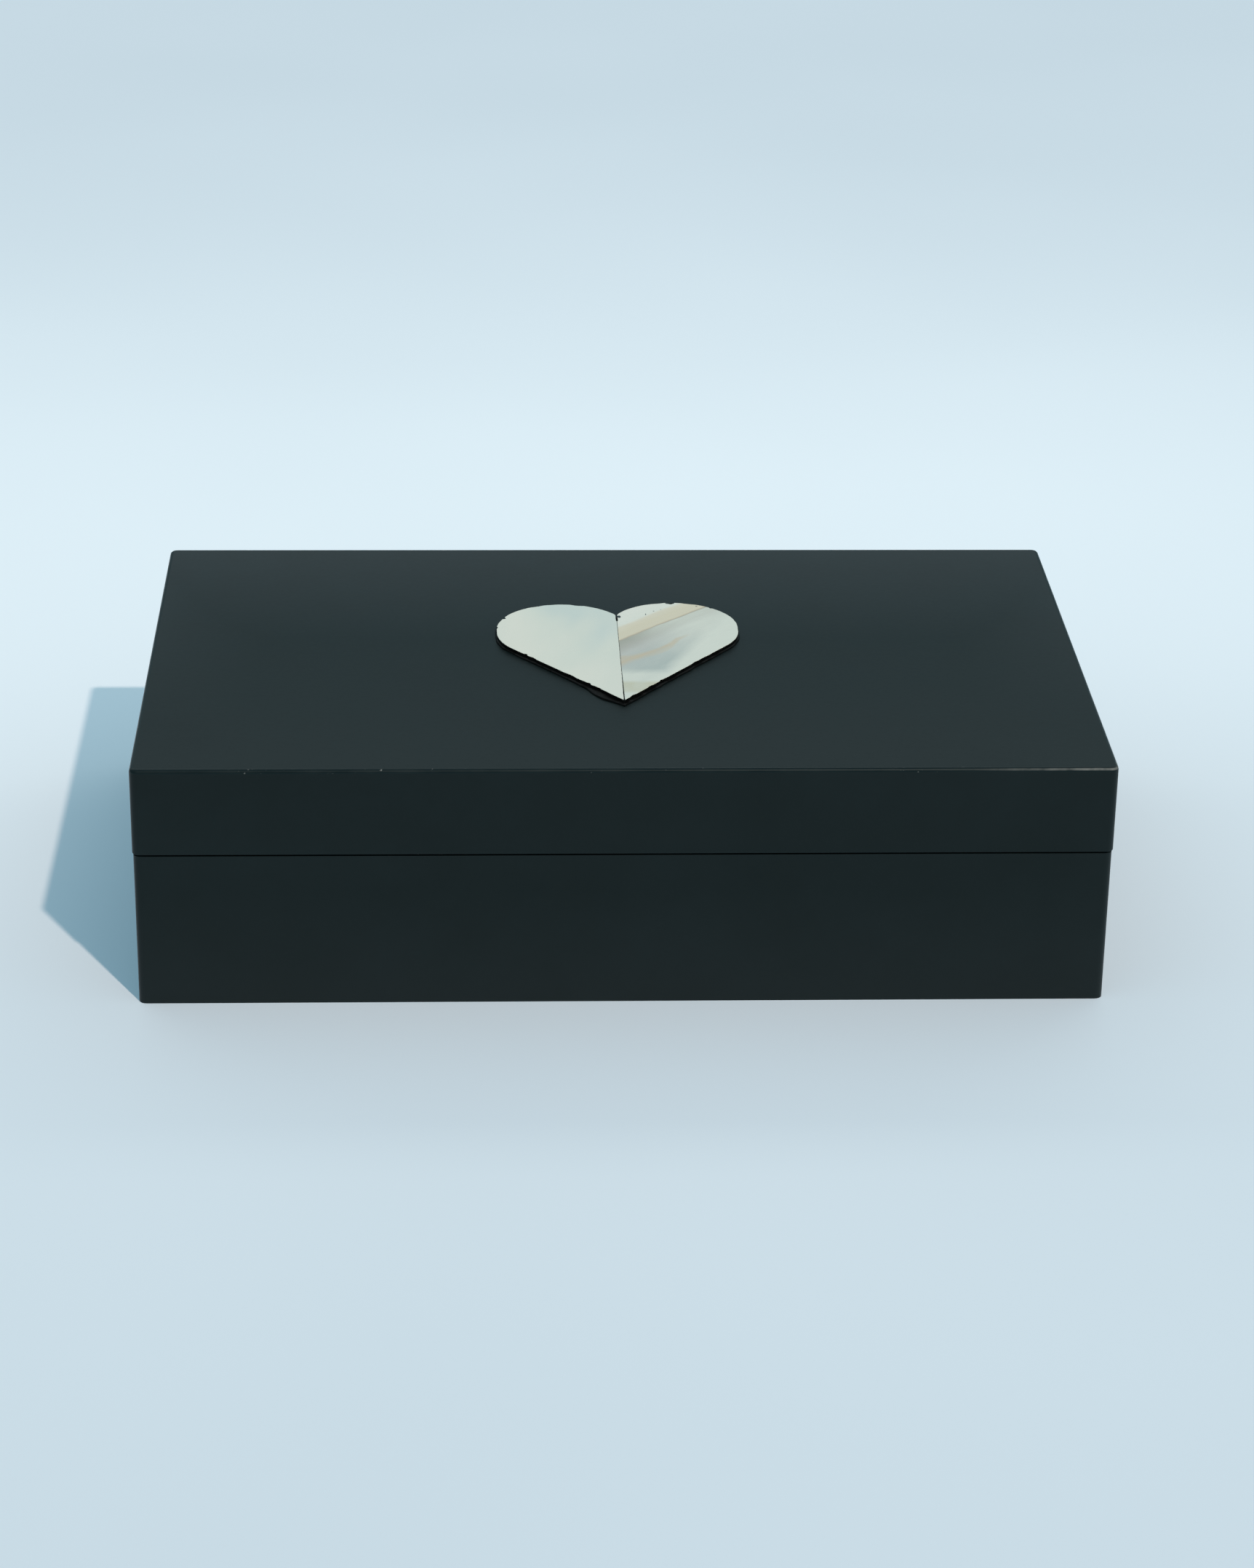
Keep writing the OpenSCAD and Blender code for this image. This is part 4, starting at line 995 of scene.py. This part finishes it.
def islands(name):
    """The boxes of a CAD node's separate solids."""
    bm = bmesh.new()
    bm.from_mesh(nodes[name].data)
    bmesh.ops.remove_doubles(bm, verts=bm.verts, dist=SAME)
    bm.verts.ensure_lookup_table()
    left = set(bm.verts)
    boxes = []
    while left:
        todo = [left.pop()]
        found = []
        while todo:
            vert = todo.pop()
            found.append(vert.co.copy())
            for edge in vert.link_edges:
                other = edge.other_vert(vert)
                if other in left:
                    left.remove(other)
                    todo.append(other)
        low = Vector([min(c[k] for c in found) for k in range(3)])
        high = Vector([max(c[k] for c in found) for k in range(3)])
        boxes.append((low, high))
    bm.free()
    return sorted(boxes, key=lambda pair: (round(pair[0].x, 5), round(pair[0].y, 5)))


def make_screws(group, name, body, material, slot_name, head_h, shank_ratio, flat, down):
    """Replaces a CAD group of plain screws by slotted ones, each slot turned its own way."""
    draw = random.Random(len(name))
    made = []
    for low, high in islands(group):
        head_r = (high.x - low.x) / 2
        length = high.z - low.z - (0 if flat else head_h)
        screw = slotted_screw(name, head_r, head_h, head_r * shank_ratio, length, flat)
        face = high.z - (0 if flat else head_h)
        place = Matrix.Translation(((low.x + high.x) / 2, (low.y + high.y) / 2, face if down else low.z))
        if not down:
            place = place @ Matrix.Rotation(math.pi, 4, "X")
        screw.data.transform(place @ Matrix.Rotation(draw.uniform(0, math.pi), 4, "Z"))
        made.append(screw)
    bm = bmesh.new()
    for screw in made:
        bm.from_mesh(screw.data)
        bpy.data.objects.remove(screw)
    obj = from_bmesh(name, bm)
    for polygon in obj.data.polygons:
        polygon.use_smooth = True
    obj.data.set_sharp_from_angle(angle=math.radians(30))
    paint_with(obj, material)
    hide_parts(group)
    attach(obj, body)


# CAD group, new piece, body, material, slot, head height, shank to head ratio, flat head, pointing down
SCREWS = [
    ("cover_screws", "cover_screws_slotted", "base", BRASS, "brass", 0.9 * MM, 0.5, False, True),
    ("comb_screws", "comb_screws_slotted", "base", STEEL, "steel", 0.9 * MM, 0.53, False, True),
    ("governor_screws", "governor_screws_slotted", "base", STEEL, "steel", 0.8 * MM, 0.5, False, True),
    ("bedplate_screws", "bedplate_screws_slotted", "base", STEEL, "steel", 1.2 * MM, 0.5, True, False),
    ("hinge_lower_screws", "hinge_screws_lower", "base", BRASS, "brass", 0.6 * MM, 0.54, True, True),
    ("hinge_upper_screws", "hinge_screws_upper", "lid", BRASS, "brass", 0.6 * MM, 0.54, True, False),
]


# Parts that keep their CAD shape


# Material, edge rounding in mm, CAD nodes
FINISHES = [
    (BRASS, 0.15, ["hinge_left_lower_leaf", "hinge_left_upper_leaf", "hinge_right_lower_leaf",
                   "hinge_right_upper_leaf", "winding_key", "arbor_bush", "governor_frame"]),
    (BRASS, 0.08, ["spring_barrel", "barrel_cap", "cylinder_gear", "governor_wheel"]),
    (BRASS_TURNED, 0.0, ["cylinder_drum", "fan_worm"]),
    (BRASS, 0.2, ["stop_plunger"]),
    (STEEL, 0.1, ["hinge_left_pin", "hinge_right_pin", "winding_arbor", "arbor_clip", "fan_spindle",
                  "stop_lever"]),
    (STEEL, 0.0, ["cylinder_arbor"]),
    (COMB_STEEL, 0.06, ["comb"]),
    (SPRING_STEEL, 0.0, ["mainspring", "stop_spring"]),
    (ZINC, 0.3, ["bedplate", "cylinder_brackets", "stop_lever_bracket"]),
    (HARDBOARD, 0.0, ["bottom_panel"]),
    (BLACK_BOARD, 0.4, ["bay_side_partition", "bay_front_partition"]),
    (BLOCK_WOOD, 0.4, ["cover_corner_blocks"]),
    (RUBBER, 0.15, ["rim_bumpers"]),
    (FAN_PLASTIC, 0.12, ["governor_fan"]),
    (CLEAR, 0.3, ["movement_cover"]),
]


# Studio

ROOM_HORIZON = (0.138, 0.228, 0.242)
ROOM_OVERHEAD = (0.318, 0.449, 0.523)
OVERHEAD_FROM = 0.75
SHEET_HALF = 6.0
SHEET_T = 2 * MM
SHEET_GLOW = (0.13, 0.66, 1.0, 1)
KEY_DIRECTION = Vector((-0.0304, 0.0549, -0.0658))
KEY_COLOUR = (1.0, 0.785, 0.665)
GLOW_PLACE = (0.0, 0.27, 0.36)
GLOW_SIZE = (1.1, 0.12)
GLOW_COLOUR = (1.0, 0.97, 0.88)
CAMERA_PLACE = (-0.0396, -0.9685, 0.4633)
CAMERA_TURN_DEG = (65.747, -0.804, -2.194)
CAMERA_LENS = 89.0
CAMERA_SENSOR = 36.0


def make_stage():
    """A wide pale sheet that lies flat under the box."""
    outline = rectangle(-SHEET_HALF, -SHEET_HALF, SHEET_HALF, SHEET_HALF)
    sheet = prism("studio_sheet", outline, -SHEET_T, 0.0)
    g = Graph("pale_blue_sheet")
    cloud = g.noise(2.5, detail=2)
    shade = g.ramp(cloud, [(0.3, (0.72, 0.785, 0.83)), (0.7, (0.76, 0.825, 0.87))])
    paper = g.finish(shade, 0.85, g.bump(g.noise(500), 0.05, 0.1 * MM), Specular_IOR_Level=0.2,
                     Emission_Color=SHEET_GLOW, Emission_Strength=0.11)
    paint_with(sheet, paper)


def make_world():
    """A soft room: bright overhead, dim near the horizon."""
    world = bpy.data.worlds.new("soft_room")
    bpy.context.scene.world = world
    world.use_nodes = True
    tree = world.node_tree
    coords = tree.nodes.new("ShaderNodeTexCoord")
    split = tree.nodes.new("ShaderNodeSeparateXYZ")
    ramp = tree.nodes.new("ShaderNodeValToRGB")
    elements = ramp.color_ramp.elements
    elements[0].position, elements[0].color = 0.0, (*ROOM_HORIZON, 1)
    elements[1].position, elements[1].color = OVERHEAD_FROM, (*ROOM_OVERHEAD, 1)
    tree.links.new(coords.outputs["Generated"], split.inputs["Vector"])
    tree.links.new(split.outputs["Z"], ramp.inputs["Fac"])
    tree.links.new(ramp.outputs["Color"], tree.nodes["Background"].inputs["Color"])


def make_lights():
    """The lamp that casts the shadow, and a weak wide panel behind the box."""
    key = bpy.data.lights.new("key", "SUN")
    key.energy = 2.0
    key.angle = math.radians(1.5)
    key.color = KEY_COLOUR
    lamp = new_object("key", key)
    lamp.rotation_euler = KEY_DIRECTION.to_track_quat("-Z", "Y").to_euler()
    glow = bpy.data.lights.new("back_glow", "AREA")
    glow.shape = "RECTANGLE"
    glow.size, glow.size_y = GLOW_SIZE
    glow.energy = 0.65
    glow.color = GLOW_COLOUR
    panel = new_object("back_glow", glow)
    panel.location = GLOW_PLACE
    panel.visible_camera = False


def make_camera():
    camera = bpy.data.cameras.new("camera")
    camera.lens = CAMERA_LENS
    camera.sensor_width = CAMERA_SENSOR
    obj = new_object("camera", camera)
    obj.location = CAMERA_PLACE
    obj.rotation_euler = [math.radians(a) for a in CAMERA_TURN_DEG]
    bpy.context.scene.camera = obj


make_camera()
make_base()
make_lid()
make_heart()
make_lining()
for row in SCREWS:
    make_screws(*row)
for material, edge, names in FINISHES:
    for name in names:
        dress_cad(name, material, edge * MM)
make_stage()
make_world()
make_lights()
bpy.context.scene.view_settings.view_transform = "Standard"
